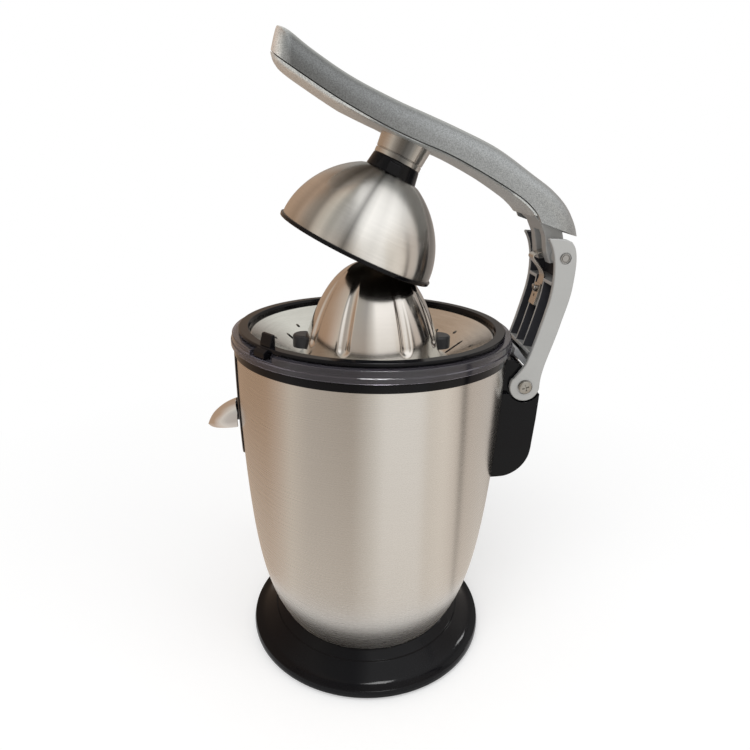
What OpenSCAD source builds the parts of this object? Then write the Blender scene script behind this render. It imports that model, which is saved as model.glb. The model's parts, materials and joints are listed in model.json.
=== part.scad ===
// Electric citrus juicer with a steel body, a lever press and a fluted reamer.
// Millimetres. Origin on the reamer's axis where the feet stand, +Z up.
// The spout points to -Y and the lever is hinged at +Y.

/* [Base] */
// Height of the rubber foot ring below the base
foot_h = 2; // [1:0.5:5]
// Width of the rubber foot ring
foot_w = 9; // [8:0.5:11]
// Distance of the foot ring's middle from the base's edge
foot_inset = 23; // [22:0.5:26]
// Distance of the cover's screws from the base's edge
cover_screw_inset = 14; // [13:0.5:15]
// Outer radius of the base moulding at its foot
base_r = 78; // [76:1:88]
// Height of the base moulding's outer edge
base_edge_z = 6.4; // [6:0.1:7.4]
// How far the top edge is drawn in from the foot
base_draw = 0.6; // [0.3:0.1:2]
// Width of the recess between the body's foot and the raised ring
recess_w = 6.5; // [5.5:0.1:8.5]
// Height of the raised ring on the base
base_ring_z = 14.5; // [13:0.1:16.5]
// Azimuth of the cord inlet, seen from the axis
cord_azimuth = 180; // [160:5:200]
// Wall of the base moulding
base_wall = 2.5; // [1.8:0.1:3.2]

/* [Body] */
// Height at which the steel body starts
body_foot_z = 18.3; // [17.5:0.1:20]
// Height at which the steel body ends
body_top_z = 197.2; // [195:0.1:199]
// Radius of the steel body at its top
body_top_r = 80.2; // [79.6:0.1:82]
// How much the body narrows as a gentle curve
body_bulge = 13.2; // [10:0.1:14]
// How much more the body is tucked in at its foot
body_tuck = 10.5; // [8:0.1:12]
// Thickness of the steel sheet
steel_t = 0.8; // [0.5:0.1:1.2]
// Height of the black band between the body and the bowl
band_h = 4.7; // [3:0.1:5.5]
// Gap between the steel body and the liner that holds the bowl
liner_clear = 2.2; // [1.8:0.1:2.4]
// Wall of the liner
liner_wall = 1.4; // [1:0.1:1.6]
// Height of the liner's floor, on its upper side
liner_floor_z = 148; // [146:0.5:148.5]
// Thickness of the liner's floor
liner_floor_t = 2; // [1.6:0.1:3]

/* [Bowl] */
// Height of the bowl's rim
rim_z = 209; // [208:0.1:211]
// How far the bowl's rim stands out over the body
rim_over = 1.8; // [1.3:0.1:3.6]
// Gap between the bowl and the liner
bowl_clear = 0.6; // [0.4:0.1:1]
// Wall of the bowl
bowl_wall = 1.6; // [1.2:0.1:1.8]
// Height of the bowl's floor at its edge, on its upper side
bowl_floor_z = 164.5; // [164.2:0.1:168]
// Rise of the bowl's floor from its edge to its middle
bowl_rise = 3.5; // [2:0.1:5]
// Inner radius of the bowl's centre tube
tube_r = 10; // [9.6:0.1:11]
// Height of the centre tube's top
tube_top_z = 194.5; // [192:0.1:195]
// Distance of the drain from the bowl's wall
drain_inset = 9.6; // [8.6:0.1:11.6]
// Radius of the drain hole
drain_r = 4.5; // [3.5:0.1:5]

/* [Strainer] */
// Height of the splash ring's flat top
splash_z = 211.6; // [210.8:0.1:213]
// Gap between the splash ring's skirt and the bowl
splash_clear = 0.5; // [0.4:0.1:0.8]
// Width of the splash ring's flat top
splash_w = 5.2; // [4:0.1:6.8]
// Wall of the splash ring's skirt
splash_wall = 1.4; // [1:0.1:1.8]
// Height of the splash ring's skirt
splash_skirt = 8.2; // [6:0.1:10]
// Radius at which the strainer's slope ends
dish_flat_r = 45.5; // [44:0.5:48]
// Height of the strainer at the end of its slope
dish_flat_z = 190; // [189.4:0.1:190.4]
// Depth of the strainer's outer edge below the bowl's rim
dish_edge_drop = 2; // [1.5:0.1:4]
// Radius of the hole in the strainer's middle
dish_hole_r = 14; // [13:0.1:16]
// Number of long slots in the strainer
slot_count = 24; // [12:2:30]
// Width of a slot
slot_w = 1.6; // [1.2:0.1:2]
// Azimuth of the lifting tab, seen from the axis
tab_azimuth = -48; // [-60:1:-40]
// Height of the lifting tab above the splash ring
tab_h = 6.6; // [3:0.1:8]

/* [Reamer] */
// Radius of the reamer at its foot
reamer_r = 41.3; // [40:0.1:42]
// Height of the reamer's lower edge
reamer_z = 194; // [193.8:0.1:196]
// Height of the reamer from edge to tip
reamer_h = 54.5; // [50:0.1:55]
// Wall of the reamer
reamer_wall = 2.6; // [2.4:0.1:3]
// Number of pairs of flutes
flute_pairs = 4; // [3:1:5]
// Angle between the two flutes of a pair
flute_pair_angle = 37; // [28:1:42]
// Depth of a flute near the reamer's foot
flute_depth = 1.8; // [1:0.1:1.9]
// Radius of the flute's cross-section
flute_r = 4.5; // [4:0.5:7]
// Reach of a pulp wiper from the axis
wiper_reach = 47.5; // [46:0.5:48]
// Width of a pulp wiper
wiper_w = 14; // [11:0.5:16]
// Height of a pulp wiper
wiper_h = 11; // [8:0.5:13]

/* [Drive] */
// Travel of the reamer when it is pressed
press_travel = 1.5; // [1:0.1:1.6]
// Radius of the drive shaft
shaft_r = 4; // [3.5:0.1:4.5]
// Width across the flats of the shaft's hexagon
hex_w = 8; // [6:0.1:8]
// Length of the shaft's hexagon
hex_len = 18; // [14:1:20]
// Module of all gears
gear_module = 1; // [0.95:0.05:1.05]
// Teeth of the output gear
output_teeth = 56; // [50:1:58]
// Teeth of the idler's small gear
idler_small_teeth = 12; // [11:1:14]
// Teeth of the idler's large gear
idler_large_teeth = 52; // [48:1:54]
// Teeth of the motor pinion
pinion_teeth = 10; // [10:1:12]
// Width of the output gear
output_gear_w = 10; // [7:0.5:11]
// Height of the gearbox's bearing plate, on its upper side
plate_z = 96; // [95:0.5:97]
// Thickness of the bearing plate
plate_t = 4; // [3:0.5:5]
// Outer radius of the gearbox
gearbox_r = 66; // [65:0.5:70]
// Height of the gearbox
gearbox_h = 31; // [30.5:0.5:33]
// Wall of the gearbox
gearbox_wall = 2; // [1.6:0.1:2.5]
// Radius of the return spring
spring_r = 4.2; // [4:0.1:4.5]
// Wire of the return spring
spring_wire = 0.8; // [0.6:0.1:0.9]
// Turns of the return spring
spring_turns = 4; // [3:1:5]

/* [Motor] */
// Distance of the motor's axis from the reamer's axis
motor_offset = 34; // [33:0.5:35]
// Gap between the steel body and the motor can's foot
motor_clear = 6.9; // [5.9:0.1:8.9]
// Length of the motor can
motor_len = 47; // [44:1:50]
// Radius of the motor shaft
motor_shaft_r = 3; // [2.5:0.1:3]
// Distance of the armature's outside from the can's outside
armature_inset = 8; // [7.5:0.1:11]
// Height of the armature's core
armature_h = 24; // [18:1:26]
// How much smaller in radius the cooling fan is than the can
fan_inset = 4; // [2:0.5:8]

/* [Bracket] */
// Width of the lever and of its bracket
lever_w = 48; // [44:1:52]
// How far the bracket's outer face stands out from the body's top
bracket_out = 18.4; // [17.8:0.2:20.8]
// Height of the bracket's lower end
bracket_foot_z = 119.6; // [112:0.2:122]
// How far the arm's pivot stands out from the body's top
pivot_out = 9; // [8.4:0.2:9.8]
// Height of the arm's pivot
pivot_z = 179.4; // [178:0.2:181]
// Radius of the arm's eye
eye_r = 8.9; // [8.4:0.1:9.4]
// Radius of the arm's pivot tube
pivot_r = 4; // [3:0.1:4.5]

/* [Arm] */
// Thickness of the arm's cheeks
cheek_t = 3.2; // [2.5:0.1:3.6]
// Thickness of the arm's back
web_t = 2; // [1.6:0.1:2.4]
// Thickness of the arm's ribs
rib_t = 2; // [1.4:0.1:2.6]
// How far the handle's pin lies beyond the arm's pivot
pin_out = 14.4; // [14.2:0.1:14.6]
// How far the handle's pin lies above the arm's pivot
pin_up = 75; // [74.6:0.1:75.4]
// Radius of the handle's pin
pin_r = 2.6; // [2.2:0.1:2.8]

/* [Handle] */
// Angle that the handle turns from raised to pressed
handle_raise = 24.7; // [24.5:0.1:25]
// Width of the handle's shells
handle_w = 46; // [42:1:50]
// Width of the handle at its tip
tip_w = 42; // [36:1:46]
// Wall of the handle's shells
handle_wall = 2.2; // [1.6:0.1:3]
// Depth of the lower shell
belly_h = 3.5; // [3:0.1:5]

/* [Press dome] */
// Outer radius of the dome
dome_r = 45.5; // [45:0.1:46.5]
// Height of the dome
dome_h = 45.2; // [44.8:0.1:46]
// Wall of the dome
dome_wall = 1; // [0.8:0.1:1.2]
// Height of the dome's edge when it is pressed down
dome_pressed_z = 206.8; // [206.4:0.1:208]
// Height of the dome's black rim
dome_rim_h = 2.2; // [1.8:0.1:3]
// How far the black rim stands out from the dome
dome_rim_out = 1.1; // [0.8:0.1:1.8]
// Radius of the collar at its foot
collar_r = 14.9; // [14.2:0.1:16]
// Height of the collar
collar_h = 7.3; // [6:0.1:9]
// Radius of the neck at its foot
neck_r = 13.6; // [12.5:0.1:14]
// Radius of the neck where it meets the handle
neck_top_r = 15.1; // [14:0.1:16]
// Length of the neck
neck_h = 17; // [16:0.5:18]

/* [Spout] */
// Width of the spout plate
spout_plate_w = 33; // [28:1:38]
// Height of the spout plate's lower end
spout_plate_z = 130; // [126:1:140]
// Thickness of the spout plate
spout_plate_t = 1.2; // [1:0.1:1.8]
// Height of the duct's centre
duct_z = 152.2; // [152.1:0.1:152.4]
// Outer radius of the duct
duct_r = 3.8; // [3.4:0.1:3.9]
// Wall of the duct
duct_wall = 0.8; // [0.7:0.1:1]
// Radius of the spout's hood at the body
hood_r = 11.2; // [10.6:0.1:12]
// Length of the spout's hood
hood_len = 21.5; // [18:0.5:26]
// Wall of the spout's hood
hood_wall = 1.5; // [1:0.1:1.6]
// Angle that the spout's hood slopes down
hood_slope = 16.7; // [12:0.5:20]

/* [Fit] */
// Gap between bodies that move past each other
gap = 0.3; // [0.25:0.01:0.35]
// Radial clearance of a running fit
run_fit = 0.05; // [0.03:0.01:0.08]

/* [Hidden] */

$fn = 64;
foot_ring_r = base_r - foot_inset;
stud_r = 3.5;
base_ring_r = body_r(body_foot_z) + recess_w;
liner_r = body_top_r - steel_t - liner_clear - liner_wall;
bowl_r = liner_r - bowl_clear - bowl_wall;
rim_r = body_top_r + rim_over;
drain_y = bowl_r - drain_inset;
splash_in_r = bowl_r - splash_clear;
splash_r = splash_in_r + splash_w;
bracket_y = body_top_r + bracket_out;
bracket_in_y = body_top_r - 10.2;
bracket_hole_y = body_top_r - 20.2;
pivot_y = body_top_r + pivot_out;
pin_y = pivot_y + pin_out;
pin_z = pivot_z + pin_up;
band_top_z = body_top_z + band_h;
cheek_in = lever_w / 2 - cheek_t;
web_top_z = pin_z + 6.5;
handle_lug_r = 4.2;
lug_in = 5.4;
lug_out = 13;
idler_dist = gear_module * (output_teeth + idler_small_teeth) / 2;
pinion_dist = gear_module * (idler_large_teeth + pinion_teeth) / 2;
idler_y = -(idler_dist * idler_dist - pinion_dist * pinion_dist
    + motor_offset * motor_offset) / (2 * motor_offset);
idler_x = sqrt(idler_dist * idler_dist - idler_y * idler_y);
motor_at = [0, -motor_offset];
large_gear_z = plate_z + 2;
large_gear_w = 7;
gearbox_top_z = plate_z + gearbox_h;
output_gear_z = large_gear_z + large_gear_w + press_travel + 2;
seal_top_z = bowl_floor_z - bowl_wall - 0.1;
stem_r = 2.5;
collar_top_z = output_gear_z - 3;
collar_bottom_z = collar_top_z - 3.6;
stem_foot_z = plate_z - 12;
plunger_z = stem_foot_z - gap;
boss_r = tube_r - 1;
boss_top_z = tube_top_z - 20;
motor_top_z = plate_z - plate_t - 0.3;
motor_foot_z = motor_top_z - motor_len;
motor_r = body_r(motor_foot_z) - steel_t - motor_offset - motor_clear;
armature_r = motor_r - armature_inset;
fan_r = motor_r - fan_inset;
rim_step = 3.6;
hub_z = reamer_z + 3.6;
hub_t = 3;
handle_axis = [0, pin_y, pin_z];
dome_at = [0, 0, dome_pressed_z];
post_r = 4;
posts_at = [for (a = [10, 100, 170, 235]) 55 * [cos(a), sin(a)]];
bracket_holes = [for (x = [-13, 13], z = [bracket_foot_z + 8.4, liner_floor_z - 7]) [x, z]];
backing_t = 0.5;
screw_head_r = 3;
cover_screws_at = [for (a = [0 : 90 : 270]) (base_r - cover_screw_inset) * [cos(a), sin(a)]];
plate_face = body_r(duct_z + 8) + spout_plate_t;
hinge_y = -plate_face - 4.2;
hinge_z = duct_z + 5.8;
hinge_pin_r = 0.9;
gland_r = 3;
flute_azimuths = [for (q = [0 : flute_pairs - 1], s = [-1, 1])
    (q + 0.5) * 360 / flute_pairs + s * flute_pair_angle / 2];

// Smooth curve through points: a Catmull-Rom spline
function spline_at(p, i, t) =
    let (a = p[max(i - 1, 0)], b = p[i], c = p[i + 1], d = p[min(i + 2, len(p) - 1)])
    0.5 * (2 * b + (c - a) * t + (2 * a - 5 * b + 4 * c - d) * t * t
        + (3 * b - 3 * c + d - a) * t * t * t);
function smooth(p, steps) = concat(
    [for (i = [0 : len(p) - 2], k = [0 : steps - 1]) spline_at(p, i, k / steps)],
    [p[len(p) - 1]]);
function arc_points(c, r, a0, a1, n) =
    [for (i = [0 : n]) let (a = a0 + (a1 - a0) * i / n) c + r * [cos(a), sin(a)]];
function reversed(p) = [for (i = [len(p) - 1 : -1 : 0]) p[i]];

// Radius of the steel body at a height
function body_r(z) =
    let (t = min(1, max(0, (body_top_z - z) / (body_top_z - body_foot_z))))
    body_top_r - body_bulge * pow(t, 2) - body_tuck * pow(t, 8);
function body_side(z0, z1, out, n) =
    [for (i = [0 : n]) let (z = z0 + (z1 - z0) * i / n) [body_r(z) + out, z]];

// Radius of the reamer at a share of its height
function bell_r(r, u) = r * pow(1 - pow(u, 1.25), 0.42);
function bell_side(r, z0, h, n) =
    [for (i = [0 : n]) let (u = 1 - pow(1 - i / n, 1.6)) [bell_r(r, min(u, 1)), z0 + h * u]];

// A cylinder that lies along X, centred on a point of the lever's plane
module cross_rod(r, w, y, z) {
    translate([-w / 2, y, z]) rotate([0, 90, 0]) cylinder(r = r, h = w);
}

// A side outline of the lever's plane, given as [y, z], made as wide as w
module side_solid(w) {
    translate([-w / 2, 0, 0]) rotate([90, 0, 90]) linear_extrude(w) children();
}

// Moves its children from the pressed pose to the raised one
module raised() {
    translate(handle_axis) rotate([-handle_raise, 0, 0]) translate(-handle_axis) children();
}

module screw(head_r, head_h, shank_r, shank_l) {
    cylinder(r = head_r, h = head_h);
    translate([0, 0, -shank_l]) cylinder(r = shank_r, h = shank_l);
}

// Involute gear, with stub teeth and a little backlash
function involute(rb, a) = rb * [cos(a) + a * PI / 180 * sin(a), sin(a) - a * PI / 180 * cos(a)];
function roll_angle(rb, r) = sqrt(max(0, r * r / (rb * rb) - 1)) * 180 / PI;
module gear_outline(teeth, turn) {
    m = gear_module;
    pitch_r = m * teeth / 2;
    base = pitch_r * cos(25);
    tip_r = pitch_r + 0.8 * m;
    root_r = pitch_r - 1.05 * m;
    low_r = max(base, root_r);
    p = involute(base, roll_angle(base, pitch_r));
    half = 90 / teeth - 0.07 * m / pitch_r * 180 / PI;
    off = half + atan2(p.y, p.x);
    function flank(k) =
        let (r = low_r + (tip_r - low_r) * k / 4, q = involute(base, roll_angle(base, r)))
        [norm(q), off - atan2(q.y, q.x)];
    points = [for (i = [0 : teeth - 1]) let (c = turn + 360 * i / teeth)
        each concat(
            [root_r * [cos(c - off), sin(c - off)]],
            [for (k = [0 : 4]) let (f = flank(k)) f[0] * [cos(c - f[1]), sin(c - f[1])]],
            [for (k = [4 : -1 : 0]) let (f = flank(k)) f[0] * [cos(c + f[1]), sin(c + f[1])]],
            [root_r * [cos(c + off), sin(c + off)]])];
    polygon(points);
}

// Base and body
module base_ring() {
    outer = concat(
        [[base_r - base_wall, foot_h], [base_r, foot_h], [base_r, base_edge_z - 2.4],
            [base_r - base_draw, base_edge_z]],
        smooth([[base_r - base_draw - 1.2, base_edge_z + 0.1],
            [(base_r + base_ring_r) / 2 + 1, base_edge_z + 1.6],
            [base_ring_r + 0.8, base_ring_z - 0.7]], 4),
        [[base_ring_r, base_ring_z], [base_ring_r - 0.6, base_ring_z],
            [body_r(body_foot_z) + 1.4, body_foot_z - 0.4],
            [body_r(body_foot_z) + 0.4, body_foot_z],
            [body_r(body_foot_z) - 9, body_foot_z]]);
    inner = [[body_r(body_foot_z) - 9, body_foot_z - base_wall],
        [body_r(body_foot_z), body_foot_z - base_wall - 0.3],
        [base_ring_r - 1.5, base_ring_z - base_wall - 0.7],
        [(base_r + base_ring_r) / 2, base_edge_z + 1.4 - base_wall],
        [base_r - base_wall - 0.4, base_edge_z - base_wall]];
    color("#17181a") difference() {
        union() {
            rotate_extrude($fn = 96) polygon(concat(outer, inner));
            for (p = cover_screws_at)
                translate([p.x, p.y, foot_h + 2.2]) cylinder(r = 3.4, h = base_edge_z - foot_h + 1.8);
        }
        for (p = cover_screws_at)
            translate([p.x, p.y, foot_h - 1]) cylinder(r = 1.3, h = 7);
        at_cord() cylinder(r = gland_r, h = 14);
        at_cord() translate([0, 0, -1.4]) cylinder(r = gland_r + 0.2, h = 1.4);
    }
}

// Places its children at the cord inlet, with +Z pointing out of the base
module at_cord() {
    rotate(cord_azimuth) translate([base_r - 9.4, 0, foot_h + 5.4]) rotate([0, 90, 0]) children();
}

module bottom_cover() {
    color("#1c1d1f") difference() {
        translate([0, 0, foot_h]) cylinder(r = base_r - base_wall - 0.4 - gap, h = 1.8);
        for (a = [45 : 90 : 315])
            rotate(a) translate([foot_ring_r, 0, 0]) cylinder(r = stud_r, h = 9, center = true);
        for (p = cover_screws_at) translate([p.x, p.y, 0]) cylinder(r = 1.7, h = 9);
        for (r = [20, 28, 36], a = [20 : 40 : 340])
            rotate(a) translate([r, 0, foot_h + 1]) cube([3, 9, 6], center = true);
    }
}

module foot_ring() {
    color("#101112") {
        difference() {
            cylinder(r = foot_ring_r + foot_w / 2, h = foot_h, $fn = 96);
            translate([0, 0, -1]) cylinder(r = foot_ring_r - foot_w / 2, h = foot_h + 2, $fn = 96);
        }
        for (a = [45 : 90 : 315])
            rotate(a) translate([foot_ring_r, 0, foot_h / 2]) cylinder(r = stud_r, h = foot_h / 2 + 2);
    }
}

module cover_screws() {
    color("#9a9da0") for (p = cover_screws_at)
        translate([p.x, p.y, foot_h]) mirror([0, 0, 1]) screw(2.6, 1.2, 1.3, 4.6);
}

module cord_gland() {
    color("#141516") at_cord() difference() {
        union() {
            cylinder(r = gland_r, h = 10.1);
            translate([0, 0, 10]) cylinder(r1 = gland_r, r2 = gland_r - 0.3, h = 2.6);
            translate([0, 0, -1.4]) cylinder(r = gland_r + 0.2, h = 1.5);
        }
        translate([0, 0, -2]) cylinder(r = gland_r - 1, h = 20);
    }
}

module body_shell() {
    color("#b9b5ae") difference() {
        rotate_extrude($fn = 96) polygon(concat(
            body_side(body_foot_z, body_top_z, 0, 24),
            reversed(body_side(body_foot_z, body_top_z, -steel_t, 24))));
        translate([0, -60, duct_z]) rotate([90, 0, 0]) cylinder(r = duct_r + gap, h = 40);
        for (h = bracket_holes)
            translate([h.x, bracket_hole_y, h.y]) rotate([-90, 0, 0]) cylinder(r = 2.2, h = 40);
    }
}

module inner_liner() {
    low = liner_floor_z - liner_floor_t;
    out_r = liner_r + liner_wall;
    color("#141517") difference() {
        union() {
            rotate_extrude($fn = 96) polygon([[boss_r - 2, low], [out_r, low],
                [out_r, body_top_z], [body_top_r + 1.1, body_top_z],
                [body_top_r + 1.3, band_top_z - 0.4], [body_top_r + 0.9, band_top_z],
                [liner_r, band_top_z], [liner_r, liner_floor_z], [boss_r, liner_floor_z],
                [boss_r, boss_top_z], [boss_r - 2, boss_top_z]]);
            rotate_extrude($fn = 96) polygon([[out_r, body_top_z - 6], [body_top_r - 1.3, body_top_z - 6],
                [body_top_r - steel_t - 0.1, body_top_z], [out_r, body_top_z]]);
        }
        translate([0, -60, duct_z]) rotate([90, 0, 0]) cylinder(r = duct_r, h = 30);
        for (p = posts_at) translate([p.x, p.y, low - 1]) cylinder(r = 1.6, h = 9);
    }
}

// Lever bracket on the body
module bracket_side() {
    edge = smooth([[-25.4, 0], [-16.7, 0.8], [-11.2, 3.1], [-6.6, 7], [-3.4, 12], [-1.8, 17.5],
        [-1.2, 26], [-0.4, 40]], 3);
    polygon(concat([[bracket_in_y, bracket_foot_z]], [for (p = edge) [bracket_y + p.x, bracket_foot_z + p.y]],
        [[bracket_y, pivot_z - 4.6], [bracket_in_y, pivot_z - 4.6]]));
}

module tongue_side() {
    polygon(concat(
        [[bracket_in_y, pivot_z - 12], [pivot_y + eye_r - 0.6, pivot_z - 12]],
        arc_points([pivot_y, pivot_z], eye_r - 1.4, 0, 62, 6),
        [[pivot_y + 2.2, pivot_z + 8.8], [pivot_y - 7, pivot_z + 15.4],
            [bracket_in_y, pivot_z + 15.4]]));
}

module hinge_bracket() {
    color("#101113") difference() {
        union() {
            difference() {
                side_solid(lever_w) bracket_side();
                cross_rod(eye_r + 0.9, lever_w + 2, pivot_y, pivot_z);
            }
            side_solid(2 * (cheek_in - gap)) tongue_side();
        }
        rotate_extrude($fn = 96) polygon(concat([[0, 60], [0, 230], [rim_r + 2.2, 230],
            [rim_r + 2.2, band_top_z - 2], [body_top_r + 2.2, body_top_z - 1]],
            body_side(body_top_z - 2, 60, 0.05, 18)));
        cross_rod(pivot_r, lever_w + 2, pivot_y, pivot_z);
        for (h = bracket_holes)
            translate([h.x, bracket_hole_y, h.y]) rotate([-90, 0, 0]) cylinder(r = 1.6, h = 32);
    }
}

module bracket_plate() {
    color("#8f9194") difference() {
        rotate_extrude(angle = 34, start = 73, $fn = 96) polygon(concat(
            body_side(bracket_foot_z + 3, liner_floor_z - liner_floor_t - 0.6, -steel_t - 0.05, 6),
            reversed(body_side(bracket_foot_z + 3, liner_floor_z - liner_floor_t - 0.6,
                -steel_t - backing_t, 6))));
        for (h = bracket_holes)
            translate([h.x, bracket_hole_y, h.y]) rotate([-90, 0, 0]) cylinder(r = 1.9, h = 32);
    }
}

module bracket_screws() {
    color("#9a9da0") for (h = bracket_holes)
        translate([h.x, sqrt(pow(body_r(h.y) - steel_t - backing_t - 0.1, 2)
            - pow(abs(h.x) + screw_head_r, 2)), h.y])
            rotate([90, 0, 0]) screw(screw_head_r, 1.8, 1.6, 12);
}

module arm_stop() {
    color("#c9cacb") side_solid(18) polygon([[pivot_y - 4.2, pivot_z + 15.7],
        [pivot_y - 3.4, pivot_z + 19], [pivot_y - 2, pivot_z + 19.4], [pivot_y + 5.4, pivot_z + 10.4],
        [pivot_y + 4.4, pivot_z + 8.2], [pivot_y + 2.6, pivot_z + 9]]);
}

// Spout
module spout_plate() {
    r = 9;
    color("#121315") difference() {
        union() {
            intersection() {
                rotate_extrude(angle = 40, start = 250, $fn = 96) polygon(concat(
                    body_side(spout_plate_z, body_top_z - 0.4, 0.05, 10),
                    reversed(body_side(spout_plate_z, body_top_z - 0.4, spout_plate_t, 10))));
                translate([0, -60, 0]) rotate([90, 0, 0]) linear_extrude(40) union() {
                    translate([-spout_plate_w / 2, spout_plate_z + r])
                        square([spout_plate_w, body_top_z - spout_plate_z]);
                    translate([-spout_plate_w / 2 + r, spout_plate_z])
                        square([spout_plate_w - 2 * r, 20]);
                    for (s = [-1, 1])
                        translate([s * (spout_plate_w / 2 - r), spout_plate_z + r]) circle(r = r);
                }
            }
            cross_rod(1.5, 3.4, hinge_y, hinge_z);
            translate([-1.7, hinge_y, hinge_z - 1.5])
                cube([3.4, -hinge_y - plate_face + spout_plate_t - 0.1, 2.5]);
        }
        translate([0, -60, duct_z]) rotate([90, 0, 0]) cylinder(r = duct_r, h = 40);
        cross_rod(hinge_pin_r, 60, hinge_y, hinge_z);
    }
}

module spout_duct() {
    cup_z = liner_floor_z + 0.2;
    color("#1b1c1e") difference() {
        union() {
            translate([0, -drain_y, duct_z]) rotate([90, 0, 0])
                cylinder(r = duct_r, h = plate_face + 2.2 - drain_y);
            translate([0, -drain_y, cup_z]) cylinder(r = drain_r + 3, h = seal_top_z - 0.6 - cup_z);
        }
        translate([0, -drain_y, duct_z]) rotate([90, 0, 0])
            cylinder(r = duct_r - duct_wall, h = 40);
        translate([0, -drain_y, duct_z - duct_r + duct_wall - 0.2])
            cylinder(r = drain_r + 1.9, h = 20);
    }
}

module drain_seal() {
    color("#c7c9c8") translate([0, -drain_y, seal_top_z - 3]) difference() {
        cylinder(r = drain_r + 1.9, h = 3);
        translate([0, 0, -1]) cylinder(r = drain_r + 0.9, h = 6);
    }
}

module spout_pin() {
    color("#b0b2b4") cross_rod(hinge_pin_r, 6.8, hinge_y, hinge_z);
}

// The hood of the spout is a shape turned round a line that slopes down
module hood(cut) {
    r = hood_r;
    n = hood_len;
    side = smooth([[r + 0.1, -4], [r, 0], [0.93 * r, 0.25 * n], [0.8 * r, 0.47 * n],
        [0.58 * r, 0.7 * n], [0.3 * r, 0.87 * n], [0, n]], 3);
    translate([0, -plate_face - 0.1, duct_z - 0.8]) rotate([90 + hood_slope, 0, 0]) rotate_extrude()
        polygon(concat([[0, -4]], [for (p = side) [max(p.x - cut, 0), p.y - (p.x < cut ? cut : 0)]]));
}

module spout_beak() {
    back = hinge_y + 4.2 - 0.5;
    color("#c4c6c9") difference() {
        intersection() {
            union() {
                difference() {
                    hood(0);
                    hood(hood_wall);
                }
                intersection() {
                    hood(0.2);
                    for (s = [-1, 1]) translate([s * 2.7 - 0.7, hinge_y - 2, hinge_z - 1.8])
                        cube([1.4, 4, 9]);
                }
            }
            side_solid(40) polygon([[back, duct_z - 4.4], [back, hinge_z - 1],
                [back - 2.6, hinge_z + 6], [back - 30, hinge_z + 6], [back - 30, duct_z - 10],
                [back - 21, duct_z - 8.2]]);
        }
        cross_rod(hinge_pin_r + run_fit, 60, hinge_y, hinge_z);
    }
}

// Bowl, splash ring and strainer
module juice_bowl() {
    out_r = bowl_r + bowl_wall;
    mid_z = bowl_floor_z + bowl_rise;
    skirt_z = band_top_z + gap;
    color("#6b6a70cc") difference() {
        rotate_extrude($fn = 96) polygon([[bowl_r, rim_z - 0.6], [bowl_r + 0.6, rim_z],
            [rim_r - 0.5, rim_z], [rim_r, rim_z - 0.5], [rim_r + 0.2, rim_z - rim_step],
            [rim_r + 0.8, rim_z - rim_step - 0.3], [rim_r + 0.8, skirt_z],
            [rim_r - 1.2, skirt_z], [rim_r - 1.2, rim_z - 4], [out_r, rim_z - 4],
            [out_r, bowl_floor_z + 4], [out_r - 1.4, bowl_floor_z - bowl_wall],
            [tube_r, mid_z - bowl_wall], [tube_r, tube_top_z], [tube_r + 2, tube_top_z],
            [tube_r + 2, mid_z], [bowl_r - 1.4, bowl_floor_z], [bowl_r, bowl_floor_z + 4]]);
        translate([0, -drain_y, bowl_floor_z - 6]) cylinder(r = drain_r, h = 12);
        rotate_extrude(angle = 13, start = tab_azimuth - 5, $fn = 96)
            translate([splash_r - 1.6, rim_z - 3]) square([8, 9]);
    }
}

module splash_ring() {
    low = splash_z - splash_skirt;
    skirt_r = splash_in_r - splash_wall;
    color("#131416") {
        rotate_extrude($fn = 96) polygon([[skirt_r, low], [skirt_r + splash_wall, low],
            [splash_in_r, rim_z + gap], [splash_r - 0.5, rim_z + gap], [splash_r, rim_z + gap + 0.5],
            [splash_r, splash_z - 0.6], [splash_r - 0.6, splash_z], [splash_in_r - 0.2, splash_z],
            [skirt_r + 0.4, splash_z - 1.6]]);
        rotate(tab_azimuth) translate([splash_in_r + 0.6, -4.4, rim_z + gap])
            cube([3.4, 8.8, splash_z - rim_z - gap + tab_h]);
        rotate(tab_azimuth) translate([splash_r - 1.6 + gap, -4.4, rim_z - 2.4])
            cube([4.2, 8.8, 4.4]);
    }
}

function dish_z(r) = dish_flat_z + max(0, r - dish_flat_r) * (rim_z - dish_edge_drop - dish_flat_z)
    / (splash_in_r - splash_wall - dish_flat_r);

module strainer_dish() {
    edge_r = splash_in_r - splash_wall;
    t = steel_t;
    color("#b7b4ae") difference() {
        rotate_extrude($fn = 96) polygon([[dish_hole_r, dish_flat_z - t - 0.4], [dish_flat_r, dish_flat_z - t],
            [edge_r, dish_z(edge_r) - t], [edge_r, dish_z(edge_r) + 0.6],
            [edge_r - 0.7, dish_z(edge_r) + 0.6], [dish_flat_r, dish_flat_z],
            [dish_hole_r, dish_flat_z - 0.4]]);
        for (i = [0 : slot_count / 2 - 1]) rotate(720 * i / slot_count + 7.5)
            translate([dish_flat_r + 1, -slot_w / 2, dish_flat_z - 4]) cube([11, slot_w, 18]);
        for (i = [0 : slot_count / 2 - 1]) rotate(720 * i / slot_count + 22.5)
            translate([dish_flat_r + 12.5, -slot_w / 2, dish_flat_z - 2]) cube([2.6, slot_w, 22]);
    }
}

// Reamer
function bell_point(u) = [bell_r(reamer_r, u), reamer_z + reamer_h * u];
function flute_point(u, deep) =
    let (d = bell_point(u + 0.01) - bell_point(u - 0.01))
    bell_point(u) + (flute_r - deep) * [d.y, -d.x] / norm(d);
function circle_centre(a, b, c) =
    let (m = (a + b) / 2, n = (b + c) / 2, p = b - a, q = c - b,
        t = (q * (n - m)) / (q * [p.y, -p.x]))
    m + t * [p.y, -p.x];

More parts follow.
